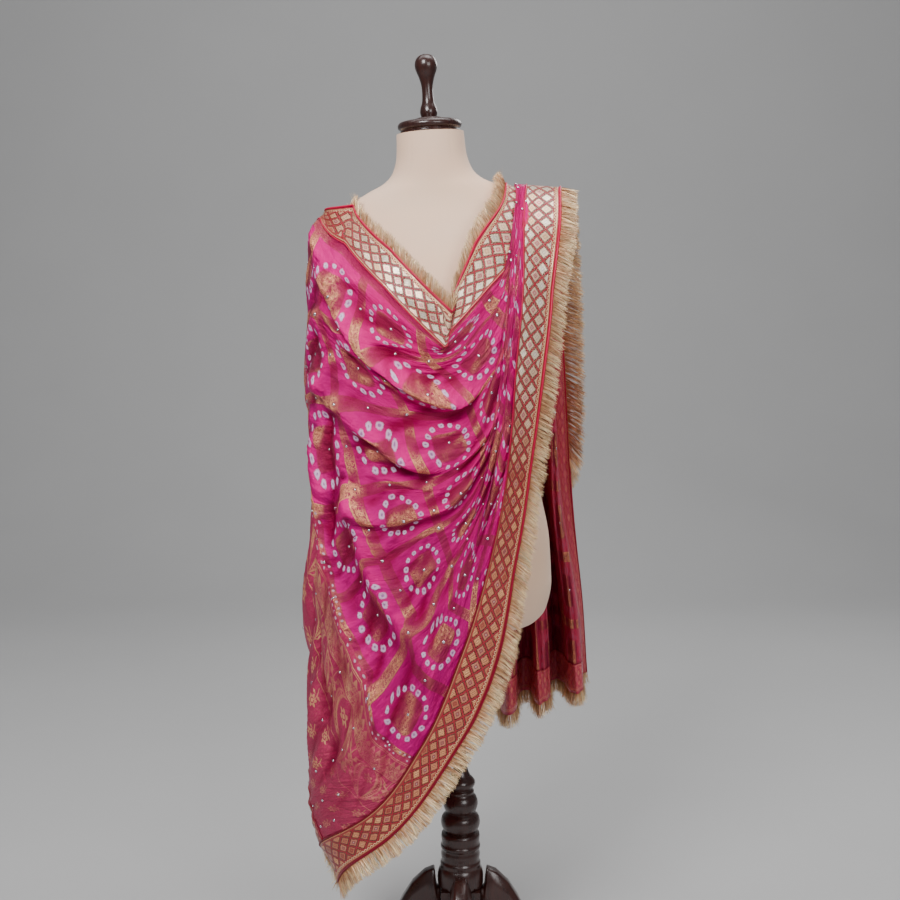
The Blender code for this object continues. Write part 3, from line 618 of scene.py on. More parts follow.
def strand_mesh(name, edge, count, seed, curl, layers, material):
    """A fringe of thin flat strands that start along an edge.

    The edge is its points and, at each of them, the strands' aim, the way out of the
    cloth's face, the way along the edge and the strands' length.
    """
    roots, aims, faces_out, along, length = edge
    chance = np.random.default_rng(seed)
    knots = np.arange(len(roots))
    distance = distances(roots)
    spots = np.sort(chance.uniform(0, distance[-1], count))
    at = np.interp(spots, distance, knots)

    def read(values):
        return np.stack([np.interp(at, knots, column) for column in values.T], -1)

    root, aim, out, run = read(roots), unit(read(aims)), unit(read(faces_out)), unit(read(along))
    layer = chance.integers(0, layers, count) - (layers - 1) / 2
    clump = np.sin(spots * 2 * math.pi / CLUMP_PITCH + 2.0 * np.sin(spots * 31)) * 0.13
    lean = clump + chance.normal(0, 0.055, count)
    tilt = chance.normal(0, 0.08, count) + layer * 0.12
    direction = unit(aim + run * lean[:, None] + out * tilt[:, None])
    wavy = 0.91 + 0.05 * np.sin(spots * 2 * math.pi / LENGTH_PITCH + 3.0 * np.sin(spots * 9))
    size = np.interp(at, knots, length) * wavy * chance.uniform(0.88, 1.03, count)
    width = chance.uniform(*STRAND_HALF_WIDTH, count)
    bend_run = chance.normal(0, curl, count)
    bend_out = chance.normal(0, curl, count)
    twist = chance.uniform(-0.9, 0.9, count)

    steps = np.linspace(0, 1, len(STRAND_TAPER))
    bent = steps**2 * length.mean()
    root = root + out * (layer * LAYER_GAP)[:, None]
    path = (root[:, None] + direction[:, None] * (size[:, None] * steps)[..., None]
            + run[:, None] * (bend_run[:, None] * bent)[..., None]
            + out[:, None] * (bend_out[:, None] * bent)[..., None])
    path[..., 2] -= STRAND_SAG * bent
    side = unit(run * np.cos(twist)[:, None] + out * np.sin(twist)[:, None])
    offset = side[:, None] * (width[:, None] * STRAND_TAPER)[..., None]
    points = np.stack([path - offset, path + offset], 2)
    index = np.arange(count * len(steps) * 2).reshape(count, -1, 2)
    quads = np.stack([index[:, :-1, 0], index[:, :-1, 1], index[:, 1:, 1], index[:, 1:, 0]], -1)
    made = new_object(name, points, quads.reshape(-1, 4).tolist(), materials=(material,))
    shade = np.repeat(chance.uniform(0, 1, count), len(steps) * 2)
    add_uv(made, "strand", np.stack([shade, np.tile(np.repeat(steps, 2), count)], 1))
    return made


# ---- Writing materials as sums of nodes

def operator(operation):
    """A method that makes a math node of a value and another."""
    return lambda self, other=None: self.math(operation, other)


class Value:
    """A number or vector from a node, which sums, products and comparisons build on."""

    def __init__(self, graph, socket):
        self.graph = graph
        self.socket = socket

    def math(self, operation, other=None, swap=False, clamp=False):
        """The number that a math node makes of this value and another."""
        node = self.graph.nodes.new("ShaderNodeMath")
        node.operation = operation
        node.use_clamp = clamp
        ends = (other, self) if swap else (self, other)
        for k, end in enumerate(ends):
            if isinstance(end, Value):
                self.graph.links.new(end.socket, node.inputs[k])
            elif end is not None:
                node.inputs[k].default_value = end
        return Value(self.graph, node.outputs[0])

    __add__ = operator("ADD")
    __sub__ = operator("SUBTRACT")
    __mul__ = operator("MULTIPLY")
    __truediv__ = operator("DIVIDE")
    __pow__ = operator("POWER")
    __gt__ = operator("GREATER_THAN")
    __lt__ = operator("LESS_THAN")
    abs = operator("ABSOLUTE")
    floor = operator("FLOOR")
    fraction = operator("FRACT")
    sin = operator("SINE")
    sqrt = operator("SQRT")
    max = operator("MAXIMUM")
    min = operator("MINIMUM")
    atan2 = operator("ARCTAN2")

    def __rsub__(self, other):
        return self.math("SUBTRACT", other, swap=True)

    def clamp(self):
        """The value kept between 0 and 1."""
        return self.math("ADD", 0.0, clamp=True)

    def below(self, edge, soft):
        """1 below the edge, 0 above it, with a soft step."""
        return ((self * -1.0 + (edge + soft)) / (2 * soft)).clamp()

    def line(self, middle, half, soft):
        """1 within half of the middle, 0 further off, with soft steps."""
        return (self - middle).abs().below(half, soft)

    def within(self, low, high):
        """1 between low and high, 0 outside."""
        return (self > low) * (self < high)

    def ramp(self, start, slope):
        """0 up to the start, rising to 1 at a slope. A slope below 0 falls from 1 to 0."""
        return ((self - start) * slope).clamp()

    def centred(self):
        """From -0.5 to 0.5 over each whole step."""
        return self.fraction() - 0.5


def greatest(values):
    """The largest of several values."""
    most = values[0]
    for value in values[1:]:
        most = most.max(value)
    return most


class Graph:
    """A material's node tree with short calls for the nodes that it needs."""

    def __init__(self, name, roughness=0.5, metallic=0.0, **constants):
        self.material = bpy.data.materials.new(name)
        self.material.use_nodes = True
        self.nodes = self.material.node_tree.nodes
        self.links = self.material.node_tree.links
        self.shader = self.nodes["Principled BSDF"]
        self.shader.inputs["Roughness"].default_value = roughness
        self.shader.inputs["Metallic"].default_value = metallic
        for key, value in constants.items():
            self.shader.inputs[key.replace("_", " ")].default_value = value

    def parts(self, vector):
        """The three numbers of a vector."""
        split = self.nodes.new("ShaderNodeSeparateXYZ")
        self.links.new(vector.socket, split.inputs[0])
        return tuple(Value(self, split.outputs[k]) for k in range(3))

    def uv(self, name):
        """The two coordinates of a UV map."""
        node = self.nodes.new("ShaderNodeUVMap")
        node.uv_map = name
        return self.parts(Value(self, node.outputs[0]))[:2]

    def place(self):
        """The place in object coordinates, as a vector."""
        return Value(self, self.nodes.new("ShaderNodeTexCoord").outputs["Object"])

    def vector(self, *parts):
        """A vector from up to three numbers."""
        node = self.nodes.new("ShaderNodeCombineXYZ")
        for k, part in enumerate(parts):
            self.feed(node.inputs[k], part)
        return Value(self, node.outputs[0])

    def texture(self, kind, vector, output, **numbers):
        """What a texture node gives at a vector."""
        node = self.nodes.new("ShaderNodeTex" + kind)
        self.links.new(vector.socket, node.inputs["Vector"])
        for key, value in numbers.items():
            node.inputs[key].default_value = value
        return Value(self, node.outputs[output])

    def noise(self, vector, scale, detail=2.0, rough=0.5, distortion=0.0):
        """Cloudy noise about 0.5."""
        return self.texture("Noise", vector, 0, Scale=scale, Detail=detail, Roughness=rough,
                            Distortion=distortion)

    def uneven(self, vector, scale, detail=2.0):
        """Cloudy noise about 0."""
        return self.noise(vector, scale, detail) - 0.5

    def spots(self, vector, scale):
        """The distance to the nearest of many scattered spots."""
        return self.texture("Voronoi", vector, "Distance", Scale=scale)

    def chance(self, *parts):
        """A random number for each different vector."""
        return self.texture("WhiteNoise", self.vector(*parts), "Value")

    def mix(self, factor, first, second):
        """A colour between two colours."""
        node = self.nodes.new("ShaderNodeMix")
        node.data_type = "RGBA"
        for k, value in ((0, factor), (6, first), (7, second)):
            self.feed(node.inputs[k], value)
        return Value(self, node.outputs[2])

    def layered(self, colour, *layers):
        """A colour under layers of a mask and a colour each."""
        for mask, top in layers:
            colour = self.mix(mask, colour, top)
        return colour

    def feed(self, socket, value):
        """Give a socket a value, a colour or a number."""
        if isinstance(value, Value):
            self.links.new(value.socket, socket)
        else:
            socket.default_value = (*value, 1.0) if isinstance(value, tuple) else value

    def finish(self, height=None, strength=0.0, distance=0.0, **inputs):
        """Link the shader's inputs, and its bump from a height."""
        for key, value in inputs.items():
            self.links.new(value.socket, self.shader.inputs[key.replace("_", " ")])
        if height:
            node = self.nodes.new("ShaderNodeBump")
            node.inputs["Strength"].default_value = strength
            node.inputs["Distance"].default_value = distance
            self.links.new(height.socket, node.inputs["Height"])
            self.links.new(node.outputs[0], self.shader.inputs["Normal"])
        return self.material


def tone(red, green, blue):
    """A linear colour from screen values of 0 to 255."""
    def linear(value):
        value = value / 255
        return value / 12.92 if value <= 0.04045 else ((value + 0.055) / 1.055) ** 2.4
    return linear(red), linear(green), linear(blue)


# The brocade's face: magenta, where it is cooler, darker in streaks and as painted shade in folds,
# and as a painted highlight on their crests
MAGENTA = (tone(232, 0, 122), tone(184, 0, 124), tone(140, 0, 56), tone(250, 0, 142))
# and its reverse
MAROON = (tone(206, 64, 94), tone(212, 52, 96), tone(146, 34, 64), tone(214, 100, 122))
# The zari: a dull rose; the gold's painted shaded copy and its lit copy, in a copper and a gold
# tone that vary at random; a painted highlight on woven crests
ZARI_ROSE, ZARI_DULL = tone(158, 44, 76), tone(132, 22, 66)
ZARI_SHADED, ZARI_LIT_COPPER, ZARI_GOLD = tone(176, 74, 82), tone(244, 142, 108), tone(255, 196, 146)
ZARI_CREST_HIGHLIGHT = tone(240, 150, 110)
DOT_WHITE, DOT_HEART, DOT_REVERSE = tone(236, 206, 240), tone(140, 80, 140), tone(190, 110, 140)
SEED_WHITE = tone(236, 200, 220)
PANEL, PANEL_DULL, PANEL_DUST = tone(202, 34, 104), tone(184, 56, 96), tone(196, 110, 104)
PANEL_GOLD = (tone(222, 130, 96), tone(255, 216, 152))

# The strips, with painted light: the pale foil is the lit copy and the tan foil the shaded one,
# each varied at random, and in the other pairs the first is the colour where little light falls and
# the second where much does, save the pip's and the ground's, which vary at random
FOIL_LIT = (tone(255, 246, 226), tone(244, 190, 140))
FOIL_SHADED = (tone(255, 188, 132), tone(178, 84, 68))
STITCH = tone(136, 50, 50)
BLUSH = (tone(198, 122, 112), tone(246, 178, 168))
PETAL_GAP = (tone(110, 16, 40), tone(196, 70, 84))
PIP = (tone(92, 60, 62), tone(200, 190, 190))
GROOVE = (tone(112, 40, 44), tone(176, 104, 84))
RIM = (tone(206, 126, 92), tone(248, 214, 176))
RAIL = (tone(214, 140, 104), tone(250, 206, 158))
# the third colour here is painted shade where a strip sinks into a fold
LATTICE_RED, OUTLINE, STRIP_FOLD_SHADE = tone(168, 0, 40), tone(66, 6, 20), tone(90, 10, 30)
STRIP_GROUND = (tone(112, 30, 36), tone(168, 80, 62))
SATIN = (tone(142, 0, 40), tone(176, 0, 56))
SATIN_LIT = tone(232, 10, 104)

PIPING_DARK, PIPING, PIPING_LIT = tone(128, 0, 36), tone(176, 0, 56), tone(206, 0, 70)
FRINGE_DARK, FRINGE_PALE = tone(208, 146, 98), tone(255, 228, 180)
FRINGE_BROWN, FRINGE_RUST = tone(168, 104, 58), tone(150, 90, 62)
FRINGE_GREEN, FRINGE_PINK = tone(206, 222, 190), tone(226, 140, 116)
SILVER, SILVER_DULL = tone(238, 234, 240), tone(206, 196, 204)
CREAM, CREAM_WORN = tone(247, 204, 170), tone(236, 206, 184)
WOOD_DARK, WOOD_LIT, WOOD_PORE = tone(34, 16, 14), tone(66, 32, 26), tone(18, 10, 9)
FLOOR, FLOOR_WORN = tone(186, 186, 186), tone(181, 181, 181)

# The brocade's figures, in metres on the flat cloth
BAND_HALF = 0.0082
BAND_SOFT = 0.0005
PATCH_ALONG, PATCH_ACROSS = 0.0272, 0.0236
RING = 0.0366
RING_DOTS = 15.0
DOT_SQUARENESS = 2.6
DOT_SIZE, HEART_SIZE = 0.0043, 0.0013
THREAD_PITCH = 0.0011
# The end panel's, by distance from its start: fine lines as middle, half width and soft
# edge, then where each row of figures starts and ends
PANEL_LINES = ((0.0110, 0.0008, 0.0004), (0.0142, 0.0005, 0.0003),
               (0.0560, 0.0009, 0.0004), (0.1450, 0.0007, 0.0004))
TEETH = (0.0160, 0.0275)
SCROLLS = (0.0280, 0.0545)
PAISLEYS = (0.0575, 0.1440)
PAISLEY_FOOT, PAISLEY_HEIGHT, PAISLEY_PITCH = 0.0590, 0.0840, 0.084
SPRIGS_FROM, SPRIG_ALONG, SPRIG_ACROSS = 0.150, 0.046, 0.052
SEED_ALONG, SEED_ACROSS = 0.0085, 0.0095
# The strips' figures
DIAMOND_ALONG, DIAMOND_ACROSS = 0.0242, 0.0194
BEAD_PITCH = 0.0062
EDGE_LINE, SEAM_LINE = 0.0104, 0.0070
LINE_SOFT = 0.0003


def blossom(across, up, size, petals):
    """A round flower of a given size in woven gold, with an open ring about its heart."""
    far = (across * across + up * up).sqrt()
    edge = (up.atan2(across) * petals).sin() * (size * 0.22) + size * 0.80
    ring = far.line(size * 0.36, size * 0.09, 0.0004)
    return (far - edge).below(0.0, BAND_SOFT) * (1.0 - ring)


def bands(g, flat, lx, ly):
    """The gold bands along the rim of each cell, and the figures on them."""
    edge_x = CELL_ALONG / 2 - lx.abs()
    edge_y = CELL_ACROSS / 2 - ly.abs()
    band_x = edge_x.below(BAND_HALF, BAND_SOFT)
    band_y = edge_y.below(BAND_HALF, BAND_SOFT)
    rails = [edge.line(BAND_HALF - 0.0011, 0.0007, LINE_SOFT) * (other > BAND_HALF - 0.001)
             for edge, other in ((edge_x, edge_y), (edge_y, edge_x))]
    leaf = g.noise(flat, 260.0, 1.0, 0.5, 1.8).line(0.5, 0.085, 0.025)
    beads = g.spots(flat, 230.0).below(0.32, 0.12) * 0.6
    block = edge_x.max(edge_y).line(0.0052, 0.0007, 0.0004) * (band_x * band_y)
    return band_x.max(band_y), greatest([*rails, leaf, beads, block])


def patches(g, x, y, lx, ly):
    """The brocade patch inside each ring: a square with soft, uneven sides."""
    wobble = g.uneven(g.vector(x, y, 0.0), 45.0) * 0.006
    wobble_2 = g.uneven(g.vector(y, x, 3.0), 45.0) * 0.006
    side_x = ((lx + wobble).abs() / PATCH_ALONG) ** 5.0
    side_y = ((ly + wobble_2).abs() / PATCH_ACROSS) ** 5.0
    return (side_x + side_y).below(1.0, 0.25)


def tied_dots(g, flat, column, row, lx, ly):
    """The ring of uneven tied dots, their hearts, and a random number for each dot."""
    step = (ly.atan2(lx) / (2 * math.pi) + 0.5) * RING_DOTS
    number = step.floor()
    lumpy = g.noise(g.vector(column + lx * 9.0, row + ly * 9.0, 5.0), 1.7) - 0.5
    jitter = g.chance(number, column * 3.0, row * 7.0) - 0.5
    jitter_2 = g.chance(number, column, row + 40.0) - 0.5
    luck = g.chance(number, column + 60.0, row)
    off_ring = (lx * lx + ly * ly).sqrt() - RING + lumpy * 0.020 + jitter * 0.0040
    off_step = (step.centred() + jitter_2 * 0.24) * (2 * math.pi * RING / RING_DOTS)
    power = DOT_SQUARENESS
    far = (off_ring.abs() ** power + off_step.abs() ** power) ** (1 / power)
    far = far + g.uneven(flat, 420.0) * 0.0030 + (luck - 0.5) * 0.0016
    return far.below(DOT_SIZE, 0.0009), far.below(HEART_SIZE, 0.0008), luck


def paisley_row(y, depth, vine):
    """A row of paisleys with outlines, beads and an eye, and a spray between each two."""
    step = y / PAISLEY_PITCH
    rise = (depth - PAISLEY_FOOT) / PAISLEY_HEIGHT
    tip = rise.clamp()
    aside = step.centred() * PAISLEY_PITCH + 0.006 - tip * tip * 0.026
    body = tip.sqrt() * (1.0 - tip) * 0.094 + 0.0004
    reach = aside.abs() / body + (vine - 0.5) * 0.08
    shell = (tip * 42.0).sin() * 0.07
    beads = reach.line(0.64, 0.05, 0.02) * (0.5 - (rise * 17.0).centred().abs()).below(0.24, 0.08)
    between = (step + 0.5).centred() * PAISLEY_PITCH + 0.004
    stalk = (between + ((depth - 0.06) * 90.0).sin() * 0.003).abs().below(0.0007, 0.0004)
    figures = (reach.line(0.50, 0.070, 0.03), reach.line(0.78, 0.060, 0.03),
               (reach + shell).line(1.06, 0.085, 0.03), beads,
               blossom(aside, (rise - 0.30) * PAISLEY_HEIGHT, 0.0105, 6.0),
               blossom(between, depth - 0.1130, 0.0095, 5.0),
               blossom(between, depth - 0.0850, 0.0062, 5.0), stalk * (depth < 0.104))
    return greatest(figures) * depth.within(*PAISLEYS)


def sprigs(y, depth):
    """Scattered flowers, each with a stem and two leaves."""
    row = (depth - SPRIGS_FROM) / SPRIG_ALONG
    up = row.centred()
    aside = (y / SPRIG_ACROSS + row.floor() * 0.5).centred() * SPRIG_ACROSS
    stem = (aside + (up * 8.0).sin() * 0.0025).abs().below(0.0008, 0.0004) * (up < 0.0)
    leaf = (up * SPRIG_ALONG + 0.012).abs() + (aside.abs() - 0.006).abs() * 0.5
    flower = blossom(up * SPRIG_ALONG, aside, 0.0100, 6.0)
    shown = (depth > SPRIGS_FROM - 0.002) * 0.85
    return greatest((flower, stem, leaf.below(0.0022, 0.0006))) * shown


def panel_figures(y, depth, vine, flower, gold_tone_and_glint):
    """The end panel's gold: lines, teeth, a scroll band, paisleys and faint sprigs."""
    lines = [depth.line(*row) for row in PANEL_LINES]
    teeth = ((y / 0.011).centred().abs() * 2.0 - (depth - TEETH[0]) / 0.012).below(0.0, 0.10)
    scroll_band = vine.line(0.5, 0.058, 0.022).max(flower) * depth.within(*SCROLLS)
    # random patches dim the paisleys, a painted glint that leaves them bright elsewhere
    fade = (gold_tone_and_glint * 3.0 - 0.6).clamp() * 0.6 + 0.4
    return greatest([*lines, teeth * depth.within(*TEETH) * 0.8, scroll_band,
                     paisley_row(y, depth, vine) * fade, sprigs(y, depth)])


def seed_dots(g, y, depth):
    """Two rows of small tied dots where the end panel starts, with some left out."""
    a, b = depth / SEED_ALONG, y / SEED_ACROSS
    off_a, off_b = a.centred(), b.centred()
    dots = (off_a * off_a + off_b * off_b).sqrt().below(0.20, 0.06)
    kept = g.chance(a.floor(), b.floor(), 0.0) > 0.25
    return dots * depth.within(-SEED_ALONG, SEED_ALONG) * kept


def cloth_material(name, reverse):
    """The brocade with zari bands, tie-dye rings and a rich end panel."""
    g = Graph(name, roughness=0.42, Specular_IOR_Level=0.12)
    x, y = g.uv("pattern")
    u, v = g.uv("strip")
    relief, _ = g.uv("relief")
    flat = g.vector(x, y, 0.0)
    # random patches that vary the gold's tone and, on the end panel, dim the paisleys as painted
    # glint
    gold_tone_and_glint = g.noise(flat, 28.0, 3.0)
    vine = g.noise(flat, 170.0, 2.0, 0.5, 2.6)
    flower = g.spots(flat, 110.0).below(0.30, 0.08)

    # the pattern's cell, with a ring's centre at (0, 0) and bands at its rim
    along, across = x / CELL_ALONG, y / CELL_ACROSS
    lx, ly = along.centred() * CELL_ALONG, across.centred() * CELL_ACROSS

    # where the pattern shows: not on the end panel, and not on the narrow pleats up high
    main = x > -2.0 * CELL_ALONG
    panel = 1.0 - main
    ended = u.ramp(1.30, -12.0)
    near_strip = v.ramp(0.765, 40.0) * u.ramp(0.84, 12.0) * ended
    figured = main * (1.0 - near_strip.max(u.ramp(0.985, 14.0) * ended))
    gathered = u.ramp(0.78, 7.0) * u.ramp(1.30, -6.0) * v.ramp(0.30, 6.0)
    loose_part = 1.0 - gathered * 0.60

    band, figure = bands(g, flat, lx, ly)
    band = band * figured
    patch = patches(g, x, y, lx, ly) * figured
    patch_figure = vine.line(0.5, 0.075, 0.025).max(flower)
    dot, heart, luck = tied_dots(g, flat, along.floor(), across.floor(), lx, ly)
    dot = dot * figured
    depth = x * -1.0 - 2.0 * CELL_ALONG
    panel_figure = panel_figures(y, depth, vine, flower, gold_tone_and_glint) * panel
    woven = band.max(patch)

    # the ground, with streaks along the threads, and a painted highlight on its folds' crests and
    # painted shade in their hollows
    cloud = g.noise(g.vector(x, y, 7.0), 9.0, 3.0)
    streak = g.noise(g.vector(u * 0.35, v * 6.0, 1.0), 14.0, 3.0)
    first, second, third, lit = MAROON if reverse else MAGENTA
    purple = (x / -CELL_ALONG * 0.35 + 0.25 + y * 1.2).clamp() * 0.75
    ground = g.mix((cloud * 0.6 + purple * 0.5).clamp(), first, second)
    ground = g.mix(streak.below(0.42, 0.12) * 0.35, ground, third)
    crest_highlight = (relief * 0.9).clamp()
    hollow_shade = (relief * -1.0).clamp()
    dust = g.noise(flat, 520.0, 1.0).below(0.47, 0.08)
    panel_ground = (g.mix(cloud, first, PANEL_DULL) if reverse else
                    g.mix(1.0 - u.ramp(0.05, 2.2), PANEL, PANEL_DULL))
    panel_ground = g.mix(dust * 0.30, panel_ground, PANEL_DUST)

    # gold figures show as a painted glint, fuller and lit in random patches and on the folds'
    # crests and a dim shaded copy elsewhere, and else the bands and patches are a dull rose
    plain = g.mix(g.noise(flat, 24.0), ZARI_ROSE, ZARI_DULL)
    glint = (g.uneven(flat, 13.0) * 7.0 + relief * 1.1).clamp()
    gold = g.mix(glint, ZARI_SHADED, g.mix(gold_tone_and_glint, ZARI_LIT_COPPER, ZARI_GOLD))
    shown = glint * 0.76 + 0.24
    # the panel's gold is a painted glint: brighter in random patches and on the folds' crests, and
    # fainter towards the outer edge
    panel_gold_glint = ((g.noise(flat, 11.0) - 0.40) * 5.0 + relief * 0.6).clamp() * 0.66 + 0.34
    panel_gold_glint = panel_gold_glint * (1.0 - v.ramp(0.62, 8.0) * 0.58)
    colour = g.layered(
        ground,
        (panel, panel_ground),
        (band * (dust * 0.22 + 0.56) * loose_part, plain),
        (patch * (dust * 0.16 + 0.74) * loose_part, plain),
        (band * figure * shown * loose_part, gold),
        (patch * patch_figure * shown * loose_part * 0.9, gold),
        (panel_figure * panel_gold_glint, g.mix(gold_tone_and_glint, *PANEL_GOLD)),
        # painted highlight on crests, over the ground and over the woven gold, and painted shade in
        # hollows
        (crest_highlight * 0.55 * (1.0 - woven.max(panel)), lit),
        (crest_highlight * 0.22 * woven, ZARI_CREST_HIGHLIGHT),
        (hollow_shade * 0.90, third),
        (seed_dots(g, y, depth) * 0.85, SEED_WHITE))
    if reverse:
        colour = g.mix(dot * 0.35, colour, DOT_REVERSE)
    else:
        colour = g.layered(colour, (dot * (luck * 0.30 + 0.66), DOT_WHITE),
                           (dot * heart * 0.75, DOT_HEART))

    metal = (band * figure).max(patch * patch_figure).max(panel_figure) * shown
    metallic = (metal * 0.60).max(woven.max(panel) * 0.04 + 0.42).clamp() * (1.0 - dot)
    roughness = metal * -0.12 + 0.40 + dot * 0.30 + g.uneven(flat, 70.0) * 0.14
    weave = (u * (2 * math.pi / THREAD_PITCH)).sin() * (v * (2 * math.pi / THREAD_PITCH)).sin()
    crepe = g.noise(g.vector(u * 0.5, v * 2.2, 0.0), 120.0, 3.0, 0.6)
    slant = g.vector(x * 0.45 + y * 0.5, y * 1.8 - x * 0.5, 2.0)
    crush = (g.noise(slant, 26.0, 2.0, 0.45) - 0.5).abs()
    height = ((weave * 0.5 + 0.5) * 0.20 + metal * 0.45 + dot * 0.7 - dot * heart
              + crepe * 1.6 + g.noise(flat, 40.0, 3.0) * 3.0 + crush * 9.0)
    return g.finish(height, 0.90, 0.0013, Base_Color=colour, Metallic=metallic, Roughness=roughness)


def border_material(name, reverse):
    """The strip with a red diamond lattice, foil diamonds and gold lines."""
    g = Graph(name, roughness=0.35)
    a, b = g.uv("lattice")
    u, v = g.uv("strip")
    relief, _ = g.uv("relief")
    flat = g.vector(a, b, 0.0)
    fine = g.noise(flat, 700.0)
    loose = g.uneven(flat, 120.0, 1.0) * 0.0024

    # the lattice: two sets of slanting lines, with a diamond in each cell between them
    across = (b - BORDER_WIDTH / 2 + loose) / DIAMOND_ACROSS
    along = (a + loose) / DIAMOND_ALONG
    one, two = along + across, along - across
    in_one, in_two = one.centred(), two.centred()
    cell_one, cell_two = one.floor(), two.floor()
    luck = g.chance(cell_one, cell_two, 0.0)
    luck_2 = g.chance(cell_one, cell_two, 4.0)
    near = (0.5 - in_one.abs()).min(0.5 - in_two.abs()) + (fine - 0.5) * 0.06
    line = near.below(0.050, 0.014)
    outline = near.below(0.170, 0.022)
    rim = near.below(0.255, 0.020)
    groove = near.line(0.355, 0.020, 0.014)
    # every second diamond is a flower with a pip
    flower = (cell_one - cell_two).abs().below(0.5, 0.01)
    middle = in_one.abs().max(in_two.abs())
    pip = middle.below(0.045, 0.02)
    petal_gap = middle.line(0.13, 0.030, 0.015)
    stitch = (one * 6.0).centred().abs().below(0.18, 0.08)

    # the edges: satin, a gold line, a zigzag and a red line, and less of it at the seam
    seam_side = BORDER_WIDTH - b
    inside = (b > EDGE_LINE) * (seam_side > SEAM_LINE + 0.0002)
    bead = (a / BEAD_PITCH).centred().abs() * 1.7 - 0.42 + (b - 0.0084) / 0.0050
    zigzag = bead.abs().below(0.20, 0.06) * b.within(0.0070, 0.0102)
    rail = b.line(0.0060, 0.0008, LINE_SOFT).max(seam_side.line(0.0034, 0.0009, LINE_SOFT))
    red_rail = b.line(EDGE_LINE, 0.0006, LINE_SOFT)
    red_rail = red_rail.max(seam_side.line(SEAM_LINE, 0.0006, LINE_SOFT))
    satin = b.below(0.0042, LINE_SOFT).max(seam_side.below(0.0018, LINE_SOFT))

    # painted light: the strips are painted lit and gleaming over the chest and shoulder, and
    # shaded, a duller gold, lower down and down the back
    lit_outer, lit_neck = u.ramp(0.70, 5.0), u.ramp(0.62, 8.0)
    outer_strip = v > CLOTH_WIDTH / 2
    painted_light = (lit_neck + (lit_outer - lit_neck) * outer_strip) * u.ramp(1.30, -8.0)
    foil = g.mix(painted_light, g.mix(luck, *FOIL_SHADED), g.mix(luck * luck, *FOIL_LIT))
    colour = g.layered(
        foil,
        # the stitches fade where the strip is painted lit
        (stitch * (0.68 - painted_light * 0.40), STITCH),
        (flower * 0.85, g.mix(painted_light, *BLUSH)),
        (flower * petal_gap * 0.75, g.mix(painted_light, *PETAL_GAP)),
        (pip * flower, g.mix(luck_2, *PIP)),
        (groove * 0.55, g.mix(painted_light, *GROOVE)),
        (rim * 0.85, g.mix(painted_light, *RIM)),
        (outline * ((fine - 0.40).below(0.12, 0.06) * 0.40 + 0.60), OUTLINE),
        (line, LATTICE_RED),
        (1.0 - inside, g.mix(fine, *STRIP_GROUND)),
        (zigzag, RAIL[1]),
        (rail * 0.9, g.mix(painted_light, *RAIL)),
        (red_rail * 0.8, LATTICE_RED),
        # painted highlight: the satin's outermost edge turns a lit pink where the strip is painted
        # lit
        (satin, g.mix(b.below(0.0020, 0.0004) * painted_light, g.mix(painted_light, *SATIN), SATIN_LIT)),
        # painted shade in the strip's folds
        ((relief * -1.0).clamp() * 0.5, STRIP_FOLD_SHADE))
    if reverse:
        colour = g.mix(0.60, colour, MAROON[0])

    foil_part = inside * (1.0 - outline)
    metallic = foil_part.max(zigzag).max(rail) * (painted_light * 0.20 + 0.30) * (0.3 if reverse else 1.0)
    roughness = luck * 0.18 + 0.20 + line * 0.25 + satin * 0.15
    tilt = (in_one * (luck - 0.5) + in_two * (luck_2 - 0.5)) * 3.4
    height = foil_part * 0.6 + zigzag * 0.7 + rail * 0.6 + fine * 0.35 + tilt * inside
    return g.finish(height, 0.7, 0.0011, Base_Color=colour, Metallic=metallic, Roughness=roughness)


